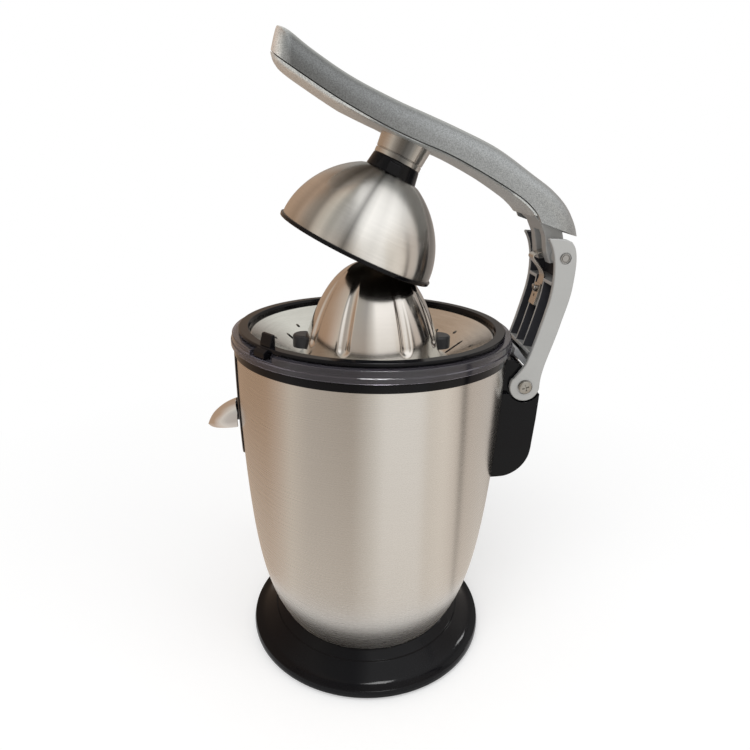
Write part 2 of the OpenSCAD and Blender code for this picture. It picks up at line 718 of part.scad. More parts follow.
// A flute is a bent round bar that sinks into the reamer and fades towards its top
module flute() {
    low = flute_point(0.2, flute_depth);
    mid = flute_point(0.52, 0.72 * flute_depth);
    high = flute_point(0.84, 0.2 * flute_depth);
    c = circle_centre(low, mid, high);
    r = norm(low - c);
    a0 = atan2(low.y - c.y, low.x - c.x);
    a1 = atan2(high.y - c.y, high.x - c.x);
    translate([c.x, 0, c.y]) rotate([90, 0, 0]) rotate_extrude(angle = a1 - a0, start = a0)
        translate([r, 0]) circle(r = flute_r);
    translate([low.x, 0, low.y]) sphere(r = flute_r - run_fit);
}

module reamer_cone() {
    color("#bdb9b3") difference() {
        rotate_extrude($fn = 96) polygon(concat(
            bell_side(reamer_r, reamer_z, reamer_h, 22),
            reversed(bell_side(reamer_r - reamer_wall, reamer_z, reamer_h - reamer_wall, 14))));
        for (a = flute_azimuths) rotate(a) flute();
    }
}

module reamer_hub() {
    disc_r = bell_r(reamer_r - reamer_wall, 0.12) - 0.4;
    color("#2a2b2d") difference() {
        union() {
            translate([0, 0, hub_z]) cylinder(r = disc_r, h = hub_t);
            translate([0, 0, hub_z]) cylinder(r = 9, h = hex_len + 5);
            for (a = [0 : 60 : 300]) rotate(a) translate([8, -1, hub_z]) cube([20, 2, 14]);
        }
        translate([0, 0, hub_z - 1]) cylinder(r = hex_w / sqrt(3) + gap / 2, h = hex_len + 3.2, $fn = 6);
    }
}

module pulp_wipers() {
    z = reamer_z - 0.6;
    ring_in = bell_r(reamer_r - reamer_wall, 0.06) - 6;
    color("#232427") difference() {
        union() {
            translate([0, 0, z]) cylinder(r = bell_r(reamer_r - reamer_wall, 0.06) - 0.4, h = 3.6);
            for (s = [-1, 1]) {
                translate([-wiper_w / 2, s > 0 ? 34 : -wiper_reach + wiper_w / 2, z])
                    cube([wiper_w, wiper_reach - wiper_w / 2 - 34, wiper_h]);
                translate([0, s * (wiper_reach - wiper_w / 2), z]) cylinder(r = wiper_w / 2, h = wiper_h);
            }
        }
        translate([0, 0, z - 1]) cylinder(r = ring_in, h = 12);
        translate([0, 0, z + 3.6]) cylinder(r = bell_r(reamer_r - reamer_wall, 0.06), h = 20);
        rotate_extrude($fn = 96) polygon(concat([[ring_in, reamer_z + 22]],
            reversed(bell_side(reamer_r + 0.05, reamer_z, reamer_h, 22)),
            bell_side(reamer_r - reamer_wall - 0.3, reamer_z, reamer_h * 0.4, 12)));
    }
}

// Drive
module drive_shaft() {
    color("#a9abad") {
        translate([0, 0, stem_foot_z]) cylinder(r = stem_r, h = collar_top_z + 0.1 - stem_foot_z);
        translate([0, 0, collar_top_z + 0.1]) cylinder(r = shaft_r, h = hub_z + 1 - collar_top_z);
        translate([0, 0, hub_z + 1]) cylinder(r = hex_w / sqrt(3), h = hex_len, $fn = 6);
    }
}

module output_gear() {
    color("#d9d4c4") translate([0, 0, output_gear_z]) difference() {
        union() {
            linear_extrude(output_gear_w) gear_outline(output_teeth, atan2(idler_y, idler_x));
            translate([0, 0, -1.4]) cylinder(r = 8, h = 1.5);
        }
        translate([0, 0, -3]) cylinder(r = shaft_r, h = 20);
        for (a = [0 : 60 : 300]) rotate(a) translate([16, 0, -1]) cylinder(r = 4.5, h = 20);
    }
}

module idler_gear() {
    to_output = atan2(-idler_y, -idler_x);
    to_motor = atan2(motor_at.y - idler_y, motor_at.x - idler_x);
    small_turn = to_output + 180 / idler_small_teeth;
    color("#d6d1c0") translate([idler_x, idler_y, 0]) difference() {
        union() {
            translate([0, 0, large_gear_z]) linear_extrude(large_gear_w)
                gear_outline(idler_large_teeth, to_motor);
            translate([0, 0, large_gear_z + large_gear_w])
                linear_extrude(output_gear_z + output_gear_w - large_gear_z - large_gear_w + 1)
                    gear_outline(idler_small_teeth, small_turn);
        }
        translate([0, 0, plate_z]) cylinder(r = 3, h = 60);
    }
}

module idler_pin() {
    color("#a9abad") translate([idler_x, idler_y, plate_z - plate_t])
        cylinder(r = 3 - run_fit, h = gearbox_top_z - plate_z + plate_t - 2);
}

module upper_bushing() {
    color("#b08d57") translate([0, 0, boss_top_z - 16]) difference() {
        cylinder(r = boss_r - 2, h = 11);
        translate([0, 0, -1]) cylinder(r = shaft_r + run_fit, h = 30);
    }
}

module shaft_seal() {
    color("#1d1e20") translate([0, 0, boss_top_z - 4.5]) difference() {
        cylinder(r = boss_r - 2, h = 4.5);
        translate([0, 0, -1]) cylinder(r = shaft_r + run_fit, h = 9);
        translate([0, 0, 2]) cylinder(r = shaft_r + 1.2, h = 9);
    }
}

module lower_bushing() {
    color("#b08d57") translate([0, 0, plate_z - plate_t - 1]) difference() {
        union() {
            cylinder(r = 4.4, h = plate_t + 1);
            cylinder(r = 5.6, h = 1);
        }
        translate([0, 0, -1]) cylinder(r = stem_r + run_fit, h = 12);
    }
}

module thrust_collar() {
    color("#e4e0d2") translate([0, 0, collar_bottom_z]) difference() {
        cylinder(r = 5.4, h = collar_top_z - collar_bottom_z);
        translate([0, 0, -1]) cylinder(r = stem_r + run_fit, h = 9);
    }
}

module tube_along(points, r, sides) {
    n = len(points);
    function dir(i) = let (d = points[min(i + 1, n - 1)] - points[max(i - 1, 0)]) d / norm(d);
    rings = [for (i = [0 : n - 1]) let (d = dir(i), e = [points[i].x, points[i].y, 0] / norm([points[i].x,
        points[i].y]), u = e - d * (d * e), v = cross(d, u / norm(u)))
        for (k = [0 : sides - 1]) points[i] + r * (cos(360 * k / sides) * u / norm(u)
            + sin(360 * k / sides) * v)];
    faces = concat(
        [for (i = [0 : n - 2], k = [0 : sides - 1])
            [i * sides + k, i * sides + (k + 1) % sides, (i + 1) * sides + (k + 1) % sides]],
        [for (i = [0 : n - 2], k = [0 : sides - 1])
            [i * sides + k, (i + 1) * sides + (k + 1) % sides, (i + 1) * sides + k]],
        [[for (k = [sides - 1 : -1 : 0]) k]],
        [[for (k = [0 : sides - 1]) (n - 1) * sides + k]]);
    polyhedron(points = rings, faces = faces);
}

module return_spring() {
    low = plate_z + spring_wire / 2 + 0.1;
    high = collar_bottom_z - spring_wire / 2 - 0.1;
    steps = spring_turns * 10;
    color("#9a9da0") tube_along([for (i = [0 : steps])
        [spring_r * cos(36 * i), spring_r * sin(36 * i), low + (high - low) * i / steps]],
        spring_wire / 2, 6);
}

module bearing_plate() {
    color("#8d9093") difference() {
        union() {
            translate([0, 0, plate_z - plate_t]) cylinder(r = gearbox_r, h = plate_t);
            for (s = [-1, 1]) translate([s * 12 - 2, -4, plate_z - plate_t - 16]) cube([4, 14, 16.5]);
        }
        translate([0, 0, plate_z - plate_t - 1]) cylinder(r = 4.4, h = 9);
        translate([motor_at.x, motor_at.y, plate_z - plate_t - 1]) cylinder(r = 8, h = 9);
        translate([idler_x, idler_y, plate_z - plate_t - 1]) cylinder(r = 3 - run_fit, h = 9);
        for (p = motor_holes) translate([p.x, p.y, plate_z - plate_t - 1]) cylinder(r = 1.6, h = 9);
        for (p = posts_at) translate([p.x, p.y, plate_z - plate_t - 1]) cylinder(r = 1.9, h = 9);
    }
}
motor_holes = [for (a = [40, 220]) motor_at + 14 * [cos(a), sin(a)]];

module gearbox_cover() {
    floor_low = liner_floor_z - liner_floor_t;
    color("#3a3c3f") difference() {
        union() {
            translate([0, 0, plate_z]) difference() {
                cylinder(r = gearbox_r, h = gearbox_h);
                translate([0, 0, -1]) cylinder(r = gearbox_r - gearbox_wall, h = gearbox_h - 1);
            }
            for (p = posts_at) {
                translate([p.x, p.y, plate_z]) cylinder(r = post_r, h = gearbox_h - 1);
                translate([p.x, p.y, gearbox_top_z - 1]) cylinder(r = post_r, h = floor_low - gearbox_top_z + 1);
            }
            translate([idler_x, idler_y, gearbox_top_z - 6]) cylinder(r = 6, h = 6);
        }
        translate([0, 0, gearbox_top_z - 9]) cylinder(r = shaft_r + 1.2, h = 20);
        translate([idler_x, idler_y, plate_z]) cylinder(r = 3 - run_fit, h = gearbox_h - 2);
        for (p = posts_at) {
            translate([p.x, p.y, plate_z - 1]) cylinder(r = 1.6, h = 10);
            translate([p.x, p.y, floor_low - 9]) cylinder(r = 1.6, h = 12);
        }
    }
}

module gearbox_screws() {
    color("#9a9da0") for (p = posts_at) {
        translate([p.x, p.y, plate_z - plate_t]) mirror([0, 0, 1]) screw(3.2, 2, 1.6, 11);
        translate([p.x, p.y, liner_floor_z]) screw(3.2, 1.8, 1.6, 9);
    }
}

// Motor
module motor_can() {
    color("#7f8285") translate([motor_at.x, motor_at.y, 0]) difference() {
        union() {
            translate([0, 0, motor_foot_z]) cylinder(r = motor_r, h = motor_len);
            translate([0, 0, motor_foot_z - 3]) cylinder(r = 9, h = 3.2);
        }
        translate([0, 0, motor_foot_z + 1.4]) cylinder(r = motor_r - 1.2, h = motor_len - 2.8);
        translate([0, 0, motor_foot_z - 4]) cylinder(r = 7, h = 9);
        translate([0, 0, motor_top_z - 9]) cylinder(r = 7, h = 10);
        for (p = motor_holes) translate([p.x, p.y + motor_offset, motor_top_z - 4]) cylinder(r = 1.6, h = 6);
        for (a = [0, 90, 180, 270]) rotate(a) translate([motor_r - 2, -5, motor_foot_z + 4])
            cube([6, 10, 5]);
    }
}

module motor_stator() {
    color("#3d3f42") translate([motor_at.x, motor_at.y, motor_foot_z + 15]) difference() {
        cylinder(r = motor_r - 1.2, h = armature_h);
        translate([0, 0, -1]) cylinder(r = armature_r + 0.5, h = armature_h + 2);
    }
}

module motor_armature() {
    color("#8a5a32") translate([motor_at.x, motor_at.y, motor_foot_z]) difference() {
        union() {
            translate([0, 0, 15]) cylinder(r = armature_r, h = armature_h);
            translate([0, 0, 5]) cylinder(r = 7, h = 10.2);
        }
        translate([0, 0, -1]) cylinder(r = motor_shaft_r, h = 60);
        for (a = [0 : 30 : 330]) rotate(a) translate([armature_r - 2.6, -0.7, 14]) cube([4, 1.4, 40]);
    }
}

module motor_shaft() {
    color("#a9abad") translate([motor_at.x, motor_at.y, motor_foot_z - 14])
        cylinder(r = motor_shaft_r, h = large_gear_z + large_gear_w + 1 - motor_foot_z + 14);
}

module motor_pinion() {
    from_idler = atan2(idler_y - motor_at.y, idler_x - motor_at.x);
    color("#c2a25a") translate([motor_at.x, motor_at.y, large_gear_z - 0.5]) difference() {
        linear_extrude(large_gear_w + 1) gear_outline(pinion_teeth, from_idler + 180 / pinion_teeth);
        translate([0, 0, -1]) cylinder(r = motor_shaft_r, h = 20);
    }
}

module motor_bearings() {
    color("#8f9194") for (z = [motor_foot_z - 2.9, motor_top_z - 5])
        translate([motor_at.x, motor_at.y, z]) difference() {
            cylinder(r = 7, h = 4.8);
            translate([0, 0, -1]) cylinder(r = motor_shaft_r + run_fit, h = 9);
        }
}

module brush_holders() {
    color("#c2a25a") for (s = [-1, 1])
        translate([motor_at.x + s * (7 + gap + (motor_r - 8.6 - gap) / 2), motor_at.y, motor_foot_z + 11])
            cube([motor_r - 8.6 - gap, 6, 5], center = true);
}

module cooling_fan() {
    z = motor_foot_z - 13;
    color("#e4e0d2") translate([motor_at.x, motor_at.y, z]) difference() {
        union() {
            cylinder(r = 5.5, h = 8);
            cylinder(r = fan_r, h = 1.4);
            for (a = [0 : 36 : 324]) rotate(a) translate([5, -0.6, 1]) cube([fan_r - 6, 1.2, 6]);
        }
        translate([0, 0, -1]) cylinder(r = motor_shaft_r, h = 20);
    }
}

module motor_screws() {
    color("#9a9da0") for (p = motor_holes)
        translate([p.x, p.y, plate_z]) screw(2.4, 0.9, 1.6, plate_t + 1.4);
}

// Switch and electrics
module microswitch() {
    top = plunger_z - 1.6;
    color("#202224") difference() {
        translate([-9.8, -2, top - 10]) cube([19.6, 6.5, 10]);
        translate([0, 0, top - press_travel - 2]) cylinder(r = 1.5 + run_fit, h = 9);
        for (s = [-1, 1]) translate([s * 6.5, -3, top - 6.5]) rotate([-90, 0, 0]) cylinder(r = 1.2, h = 9);
    }
    color("#202224") for (s = [-1, 1])
        translate([s > 0 ? 9.8 : -10, -2, top - 9]) cube([0.2, 6.5, 8]);
}

module switch_plunger() {
    color("#d8d4c6") translate([0, 0, plunger_z - 3.4]) cylinder(r = 1.5, h = 3.4);
}

module capacitor() {
    color("#35507a") translate([-9, 20, foot_h + 2]) cube([18, 9, 12]);
}

// Arm: its outlines are measured from the pivot
function from_pivot(points) = [for (p = points) p + [pivot_y, pivot_z]];
arm_back = smooth(from_pivot([[8.8, -1], [9, 5.6], [10.4, 13.6], [12.8, 22.8], [15.2, 31.8],
    [17.2, 40.6], [19.3, 49.6], [20.6, 57.8], [21.1, 68.9], [20.7, 75.6], [19.4, 80.6],
    [17.2, 83.8]]), 3);
arm_front = smooth(from_pivot([[-6.8, 5], [-4, 9], [-1, 13.6], [0.9, 19.7], [3.4, 28.7],
    [5.2, 36.1], [7.3, 45.1], [8.8, 53], [9.5, 61.4], [9, 71.2], [7, 79.4],
    [4.2, 84.8]]), 3);

module cheek_side() {
    polygon(concat(arm_back, from_pivot([[14.2, 85], [9.8, 85.4], [4.4, 85.6]]), reversed(arm_front)));
    translate([pivot_y, pivot_z]) circle(r = eye_r);
}

module web_side() {
    back = [for (p = arm_back) if (p.y > pivot_z + 8.4 && p.y < web_top_z) p];
    polygon(concat(back, reversed([for (p = back) [p.x - web_t, p.y]])));
}

module rib_side() {
    low = pivot_z + 18.6;
    high = pivot_z + 60.1;
    front = [for (p = arm_front) if (p.y > low && p.y < high) p];
    back = [for (p = arm_back) if (p.y > low && p.y < high) p];
    polygon(concat(front, reversed([for (p = back) [p.x - web_t + 0.1, p.y]])));
}

module arm_frame() {
    color("#b9bbbd") difference() {
        union() {
            for (s = [-1, 1]) translate([s * (lever_w - cheek_t) / 2, 0, 0])
                side_solid(cheek_t) cheek_side();
            for (s = [-1, 1]) translate([s * (cheek_in + 0.5 + lug_out + gap) / 2, 0, 0])
                cross_rod(pin_r + 2.2, cheek_in + 0.5 - lug_out - gap, pin_y, pin_z);
            side_solid(2 * cheek_in) web_side();
            for (s = [-1, 1]) translate([s * 7, 0, 0]) side_solid(rib_t) rib_side();
            side_solid(2 * cheek_in) polygon(from_pivot([[12, 59], [19.2, 59], [19.2, 61],
                [12, 61]]));
            for (s = [-1, 1]) translate([s * (cheek_in + 6) / 2, 0, 0]) side_solid(cheek_in - 6)
                polygon(from_pivot([[9.5, 59.2], [12.2, 59], [12.2, 61], [9.6, 61.2]]));
            side_solid(2 * cheek_in) polygon(from_pivot([[0.7, 18.8], [11.2, 16.8], [11.6, 19],
                [1.3, 20.8]]));
            side_solid(2 * (7 - rib_t / 2 + 0.1)) clip_pad();
        }
        cross_rod(pin_r, lever_w + 2, pin_y, pin_z);
        cross_rod(pivot_r + run_fit, lever_w + 2, pivot_y, pivot_z);
        clip_screw_at() translate([0, 0, -6]) cylinder(r = 1.4, h = 10);
    }
}

module pivot_tube() {
    color("#a9abad") difference() {
        cross_rod(pivot_r, lever_w + 0.4, pivot_y, pivot_z);
        cross_rod(1.8, lever_w + 2, pivot_y, pivot_z);
    }
}

module pivot_screws() {
    color("#b4b6b8") for (s = [-1, 1])
        translate([s * (lever_w / 2 + 0.2), pivot_y, pivot_z]) rotate([0, s * 90, 0]) difference() {
            screw(3.8, 1.6, 1.8, 10);
            for (a = [20, 110]) rotate(a) translate([-2.2, -0.5, 0.8]) cube([4.4, 1, 2]);
        }
}

module upper_pin() {
    color("#b4b6b8") cross_rod(pin_r, lever_w + 0.6, pin_y, pin_z);
}

// The detent spring is a bent strip; its foot lies between a pad and a clip
spring_line = smooth(from_pivot([[6.7, 44.6], [8.2, 50.6], [9.5, 57], [10.3, 60.8], [9.4, 64.3],
    [6.6, 67.9], [3.4, 71.2], [2.6, 73.2], [4.4, 74.9], [7.6, 76.1],
    [pin_out - handle_lug_r - gap, 76.8]]), 4);
spring_t = 0.8;

function beside(line, d) = [for (i = [0 : len(line) - 1])
    let (v = line[min(i + 1, len(line) - 1)] - line[max(i - 1, 0)])
    line[i] + d * [v.y, -v.x] / norm(v)];

module clip_pad() {
    foot = [for (p = spring_line) if (p.y < pivot_z + 58.6) p];
    polygon(concat(beside(foot, spring_t), from_pivot([[18.8, 58.6], [15.4, 44]])));
}

module clip_screw_at() {
    translate([0, pivot_y + 8.9, pivot_z + 54.8]) rotate([-78, 0, 0]) mirror([0, 0, 1]) children();
}

module leaf_spring() {
    color("#c3b8a6") difference() {
        side_solid(9) polygon(concat(spring_line, reversed(beside(spring_line, spring_t))));
        clip_screw_at() translate([0, 0, -6]) cylinder(r = 1.6, h = 12);
    }
}

module spring_clip() {
    foot = [for (p = spring_line) if (p.y < pivot_z + 57.2) p];
    color("#c9c2b4") difference() {
        side_solid(9.6) polygon(concat(foot, reversed(beside(foot, -1))));
        clip_screw_at() translate([0, 0, -6]) cylinder(r = 1.6, h = 12);
        translate([0, pivot_y + 0.8, pivot_z + 50]) rotate([-90, 0, 0]) cylinder(r = 0.8, h = 20);
    }
}

module clip_screw() {
    color("#9a9da0") clip_screw_at() translate([0, 0, 1.8]) difference() {
        screw(2.4, 1.4, 1.4, 6.6);
        for (a = [45, 135]) rotate(a) translate([-1.5, -0.35, 0.8]) cube([3, 0.7, 2]);
    }
}

// Handle: each row is a point of the seam and the point of the crown above it, from the pin
handle_line = [
    [-157.2, 98.1, -154.1, 110.1],
    [-153.1, 94.4, -148.4, 107.6],
    [-142.3, 87.6, -136.4, 99.2],
    [-123, 76.3, -117, 87.8],
    [-100.6, 65.1, -94.5, 77.8],
    [-82.6, 57.7, -76.4, 71],
    [-66.6, 51.8, -60, 64.6],
    [-47.6, 42.8, -39.8, 55.8],
    [-28.7, 32.4, -19.6, 43.2],
    [-21, 26.6, -7.8, 35.4],
    [-17.2, 22.4, 1, 27],
    [-15.6, 19.4, 6.8, 17.6],
    [-15, 18.5, 9.2, 10.6]];
handle_steps = 2;
handle_rows = smooth([for (r = handle_line) r + [pin_y, pin_z, pin_y, pin_z]], handle_steps);
function handle_half(i, wall) =
    let (t = min(1, i / (3 * handle_steps)))
    (tip_w + (handle_w - tip_w) * t) / 2 - wall - (i == 0 ? 2.6 : 0);

// A closed skin over sections; a section runs out along one side and back along the other
module skin(sections) {
    n = len(sections);
    m = len(sections[0]);
    points = [for (s = sections) each s];
    faces = concat(
        [for (i = [0 : n - 2], k = [0 : m - 1])
            [i * m + k, i * m + (k + 1) % m, (i + 1) * m + (k + 1) % m]],
        [for (i = [0 : n - 2], k = [0 : m - 1])
            [i * m + k, (i + 1) * m + (k + 1) % m, (i + 1) * m + k]],
        [for (k = [0 : m / 2 - 2]) each [[m - 2 - k, k + 1, k], [m - 1 - k, m - 2 - k, k]]],
        [for (k = [0 : m / 2 - 2], c = (n - 1) * m)
            each [[c + k, c + k + 1, c + m - 2 - k], [c + k, c + m - 2 - k, c + m - 1 - k]]]);
    polyhedron(points = points, faces = faces);
}

function bow(row, half, h0, h1, n, sign) =
    let (seam = [row[0], row[1]], up = [row[2] - row[0], row[3] - row[1]])
    [for (k = [0 : n]) let (a = 180 * k / n, x = half * sign * (cos(a) > 0 ? 1 : -1)
        * pow(abs(cos(a)), 0.45), v = h0 + (h1 - h0) * pow(sin(a), 0.6))
        [x, seam.x + up.x * v, seam.y + up.y * v]];

module handle_top() {
    last = len(handle_rows) - 1;
    color("#b4b6b8") skin([for (i = [0 : last]) let (r = handle_rows[i],
        depth = norm([r[2] - r[0], r[3] - r[1]]),
        hollow = i < handle_steps ? 0.12 : 1 - handle_wall / depth,
        half_in = i < handle_steps ? 2 : handle_half(i, handle_wall))
        concat(bow(r, handle_half(i, 0), 0, 1, 16, 1), reversed(bow(r, half_in, 0, hollow, 16, 1)))]);
}

module handle_belly() {
    last = len(handle_rows) - 1;
    stop = last - 2 * handle_steps;
    color("#c0c2c3") difference() {
        skin([for (i = [0 : stop]) let (r = handle_rows[i],
            depth = norm([r[2] - r[0], r[3] - r[1]]),
            drop = belly_h / depth * (i == 0 ? 0.45 : 1), slot = 0.2 / depth)
            concat(bow(r, handle_half(i, 0.2), -slot, -drop, 16, -1),
                reversed(bow(r, handle_half(i, handle_wall), -slot, -max(drop - handle_wall / depth,
                    2 * slot), 16, -1)))]);
        raised() translate(dome_at) translate([0, 0, neck_foot]) {
            neck_cone(0.1);
            translate([0, 0, neck_h - 0.01]) cylinder(r = neck_top_r + 0.1, h = 30);
        }
    }
}

module lug_side() {
    polygon(concat(
        [[pin_y - 21.6, pin_z + 26.2], [pin_y - 18.3, pin_z + 22.5], [pin_y - 15.4, pin_z + 20.2],
            [pin_y - 13, pin_z + 18.4], [pin_y - 9, pin_z + 10.4], [pin_y - 7.4, pin_z + 2],
            [pin_y - 4.8, pin_z - 4.4]],
        arc_points([pin_y, pin_z], handle_lug_r, 255, 360, 7),
        [[pin_y + handle_lug_r - 1.2, pin_z + 4], [pin_y + 1.4, pin_z + 10],
            [pin_y - 1.6, pin_z + 20], [pin_y - 5, pin_z + 24.6], [pin_y - 10.3, pin_z + 33.8],
            [pin_y - 19, pin_z + 29.5]]));
}

module bridge_side() {
    polygon([[pin_y - 21.6, pin_z + 26.2], [pin_y - 18.3, pin_z + 22.5],
        [pin_y - 15.4, pin_z + 20.2], [pin_y - 13, pin_z + 18.4], [pin_y - 10.6, pin_z + 13.6],
        [pin_y + 0.8, pin_z + 12.6], [pin_y - 1.6, pin_z + 20],
        [pin_y - 5, pin_z + 24.6], [pin_y - 10.3, pin_z + 33.8], [pin_y - 19, pin_z + 29.5]]);
}

module handle_tail() {
    color("#c4c6c7") difference() {
        union() {
            for (s = [-1, 1]) translate([s * (lug_in + lug_out) / 2, 0, 0])
                side_solid(lug_out - lug_in) lug_side();
            side_solid(2 * lug_in + 1) bridge_side();
            cross_rod(handle_lug_r, 2 * lug_in + 1, pin_y, pin_z);
        }
        cross_rod(pin_r + run_fit, lever_w, pin_y, pin_z);
    }
}

// Press dome, drawn pressed down and then raised
neck_foot = dome_h + collar_h;

module neck_cone(extra) {
    translate([0, 0, 3.2]) cylinder(r1 = neck_r + extra, r2 = neck_top_r + extra, h = neck_h - 3.2);
}

module neck_tube() {
    color("#aeb0b2") raised() translate(dome_at) translate([0, 0, neck_foot]) difference() {
        union() {
            cylinder(r = neck_r, h = 2.6);
            translate([0, 0, 2.6]) cylinder(r = neck_r - 0.3, h = 0.6);
            neck_cone(0);
            translate([0, 0, -collar_h + 1]) cylinder(r = 8, h = collar_h);
        }
        translate([0, 0, -collar_h]) cylinder(r = 3, h = neck_h + collar_h + 1);
    }
}

module dome_collar() {
    color("#151618") raised() translate(dome_at) translate([0, 0, dome_h - 0.1]) difference() {
        union() {
            cylinder(r1 = collar_r, r2 = neck_r, h = collar_h - 0.1);
            rotate(-60) translate([neck_r - 1.5, -3, 1.2]) cube([3.4, 6, 4.4]);
        }
        translate([0, 0, 0.6]) cylinder(r = 8 + run_fit, h = collar_h);
        translate([0, 0, -1]) cylinder(r = 3, h = collar_h);
    }
}

function dome_side(r, h, n) = [for (i = [0 : n]) let (a = 90 * i / n)
    [max(r * cos(a), 0), dome_rim_h + (h - dome_rim_h) * sin(a)]];

module dome_shell() {
    outer = [for (p = dome_side(dome_r, dome_h, 20)) if (p.x > 3) p];
    inner = [for (p = dome_side(dome_r - dome_wall, dome_h - dome_wall, 20)) if (p.x > 3) p];
    color("#bcb8b2") raised() translate(dome_at) rotate_extrude($fn = 96)
        polygon(concat(outer, [[3, dome_h - 0.1], [3, dome_h - dome_wall - 0.1]], reversed(inner)));
}

module dome_rim() {
    r = dome_r;
    color("#141517") raised() translate(dome_at) rotate_extrude($fn = 96)
        polygon([[r - dome_wall - 0.6, 0.4], [r - dome_wall - 0.2, 0], [r + dome_rim_out - 0.4, 0],
            [r + dome_rim_out, 0.5], [r + dome_rim_out, dome_rim_h - 0.5],
            [r + dome_rim_out - 0.5, dome_rim_h], [r - dome_wall - 0.6, dome_rim_h]]);
}

base_ring();
bottom_cover();
foot_ring();
cover_screws();
cord_gland();
body_shell();
inner_liner();
hinge_bracket();
bracket_plate();
bracket_screws();
arm_stop();
spout_plate();
spout_duct();
drain_seal();
spout_pin();
spout_beak();
juice_bowl();
splash_ring();
strainer_dish();
reamer_cone();
reamer_hub();
pulp_wipers();
drive_shaft();
output_gear();
shaft_seal();
upper_bushing();
lower_bushing();
thrust_collar();
return_spring();
idler_gear();
idler_pin();
bearing_plate();
gearbox_cover();
gearbox_screws();
motor_can();
motor_stator();
motor_armature();
motor_shaft();
motor_pinion();
motor_bearings();
brush_holders();
cooling_fan();
motor_screws();
microswitch();
switch_plunger();
capacitor();
arm_frame();
pivot_tube();
pivot_screws();
upper_pin();
leaf_spring();
spring_clip();
clip_screw();
handle_top();
handle_belly();
handle_tail();
neck_tube();
dome_collar();
dome_shell();
dome_rim();
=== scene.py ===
"""Looks of an electric citrus juicer with a lever press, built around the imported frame.

The pieces are drawn in millimetres until a mesh is made; the floor, the lamps, the wall and the
camera are in metres. +Z is up, the spout points to -Y and the lever is hinged at +Y.
"""
import json
from math import asin, atan2, copysign, cos, degrees, dist, radians, sin, sqrt, tan

import bmesh
import bpy
from mathutils import Matrix, Vector


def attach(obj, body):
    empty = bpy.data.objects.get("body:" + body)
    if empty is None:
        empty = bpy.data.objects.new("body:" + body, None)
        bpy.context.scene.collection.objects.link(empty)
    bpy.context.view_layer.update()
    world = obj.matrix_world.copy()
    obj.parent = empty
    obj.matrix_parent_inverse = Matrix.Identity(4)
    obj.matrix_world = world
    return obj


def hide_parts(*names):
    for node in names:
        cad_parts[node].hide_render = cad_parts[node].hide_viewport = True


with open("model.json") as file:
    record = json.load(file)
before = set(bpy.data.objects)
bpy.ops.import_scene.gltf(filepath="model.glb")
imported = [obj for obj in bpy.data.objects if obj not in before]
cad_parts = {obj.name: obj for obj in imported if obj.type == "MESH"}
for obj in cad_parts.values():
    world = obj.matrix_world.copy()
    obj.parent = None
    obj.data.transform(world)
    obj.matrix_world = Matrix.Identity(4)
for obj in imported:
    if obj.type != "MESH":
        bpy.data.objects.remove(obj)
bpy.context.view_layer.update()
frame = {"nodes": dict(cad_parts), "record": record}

MM = 0.001
scene = bpy.context.scene

# Sizes that repeat the part's source
FOOT_H = 2.0
BASE_R, BASE_EDGE_Z, BASE_DRAW = 78.0, 6.4, 0.6
BASE_RING_R, BASE_RING_Z, BASE_WALL = 63.0, 14.5, 2.5
BODY_FOOT_Z, BODY_TOP_Z, BODY_TOP_R = 18.3, 197.2, 80.2
BODY_BULGE, BODY_TUCK, STEEL_T = 13.2, 10.5, 0.8
BAND_TOP_Z = BODY_TOP_Z + 4.7
LINER_R, LINER_WALL, LINER_FLOOR_Z = 75.8, 1.4, 148.0
RIM_Z, RIM_R, BOWL_R, BOWL_WALL = 209.0, 82.0, 73.6, 1.6
BOWL_FLOOR_Z, BOWL_RISE, TUBE_R, TUBE_TOP_Z = 164.5, 3.5, 10.0, 194.5
DRAIN_Y, DRAIN_R = 64.0, 4.5
SPLASH_Z, SPLASH_R, SPLASH_IN_R, SPLASH_WALL, SPLASH_SKIRT = 211.6, 78.3, 73.1, 1.4, 8.2
DISH_FLAT_R, DISH_FLAT_Z, DISH_HOLE_R = 45.5, 190.0, 14.0
TAB_AZIMUTH, TAB_H = -48.0, 6.6
REAMER_R, REAMER_Z, REAMER_H, REAMER_WALL = 41.3, 194.0, 54.5, 2.6
FLUTE_R, FLUTE_DEPTH, FLUTE_PAIR_ANGLE = 4.5, 1.8, 37.0
WIPER_REACH, WIPER_W, WIPER_H = 47.5, 14.0, 11.0
LEVER_W, BRACKET_Y, BRACKET_FOOT_Z = 48.0, 98.6, 119.6
PIVOT_Y, PIVOT_Z, EYE_R = 89.2, 179.4, 8.9
CHEEK_T, WEB_T, RIB_T = 3.2, 2.0, 2.0
CHEEK_IN = LEVER_W / 2 - CHEEK_T
PIN_Y, PIN_Z, PIN_R = 103.6, 254.4, 2.6
LUG_IN, LUG_OUT, LUG_R = 5.4, 13.0, 4.2
HANDLE_RAISE, HANDLE_W, TIP_W, HANDLE_WALL, BELLY_H = 24.7, 46.0, 42.0, 2.2, 3.5
DOME_R, DOME_H, DOME_WALL, DOME_PRESSED_Z = 45.5, 45.2, 1.0, 206.8
DOME_RIM_H, DOME_RIM_OUT = 2.2, 1.1
COLLAR_R, COLLAR_H, NECK_R, NECK_TOP_R, NECK_H = 14.9, 7.3, 13.6, 15.1, 17.0
PLATE_W, PLATE_Z, PLATE_T, DUCT_Z, DUCT_R = 33.0, 130.0, 1.2, 152.2, 3.8
HOOD_R, HOOD_LEN, HOOD_WALL, HOOD_SLOPE = 11.2, 21.5, 1.5, 16.7
GAP = 0.3

# Sizes of the scene alone
SLOT_W, DOME_PEAK, DOME_BEND, COLLAR_TAB_AZIMUTH = 2.3, 49.2, 1.8, -4.0


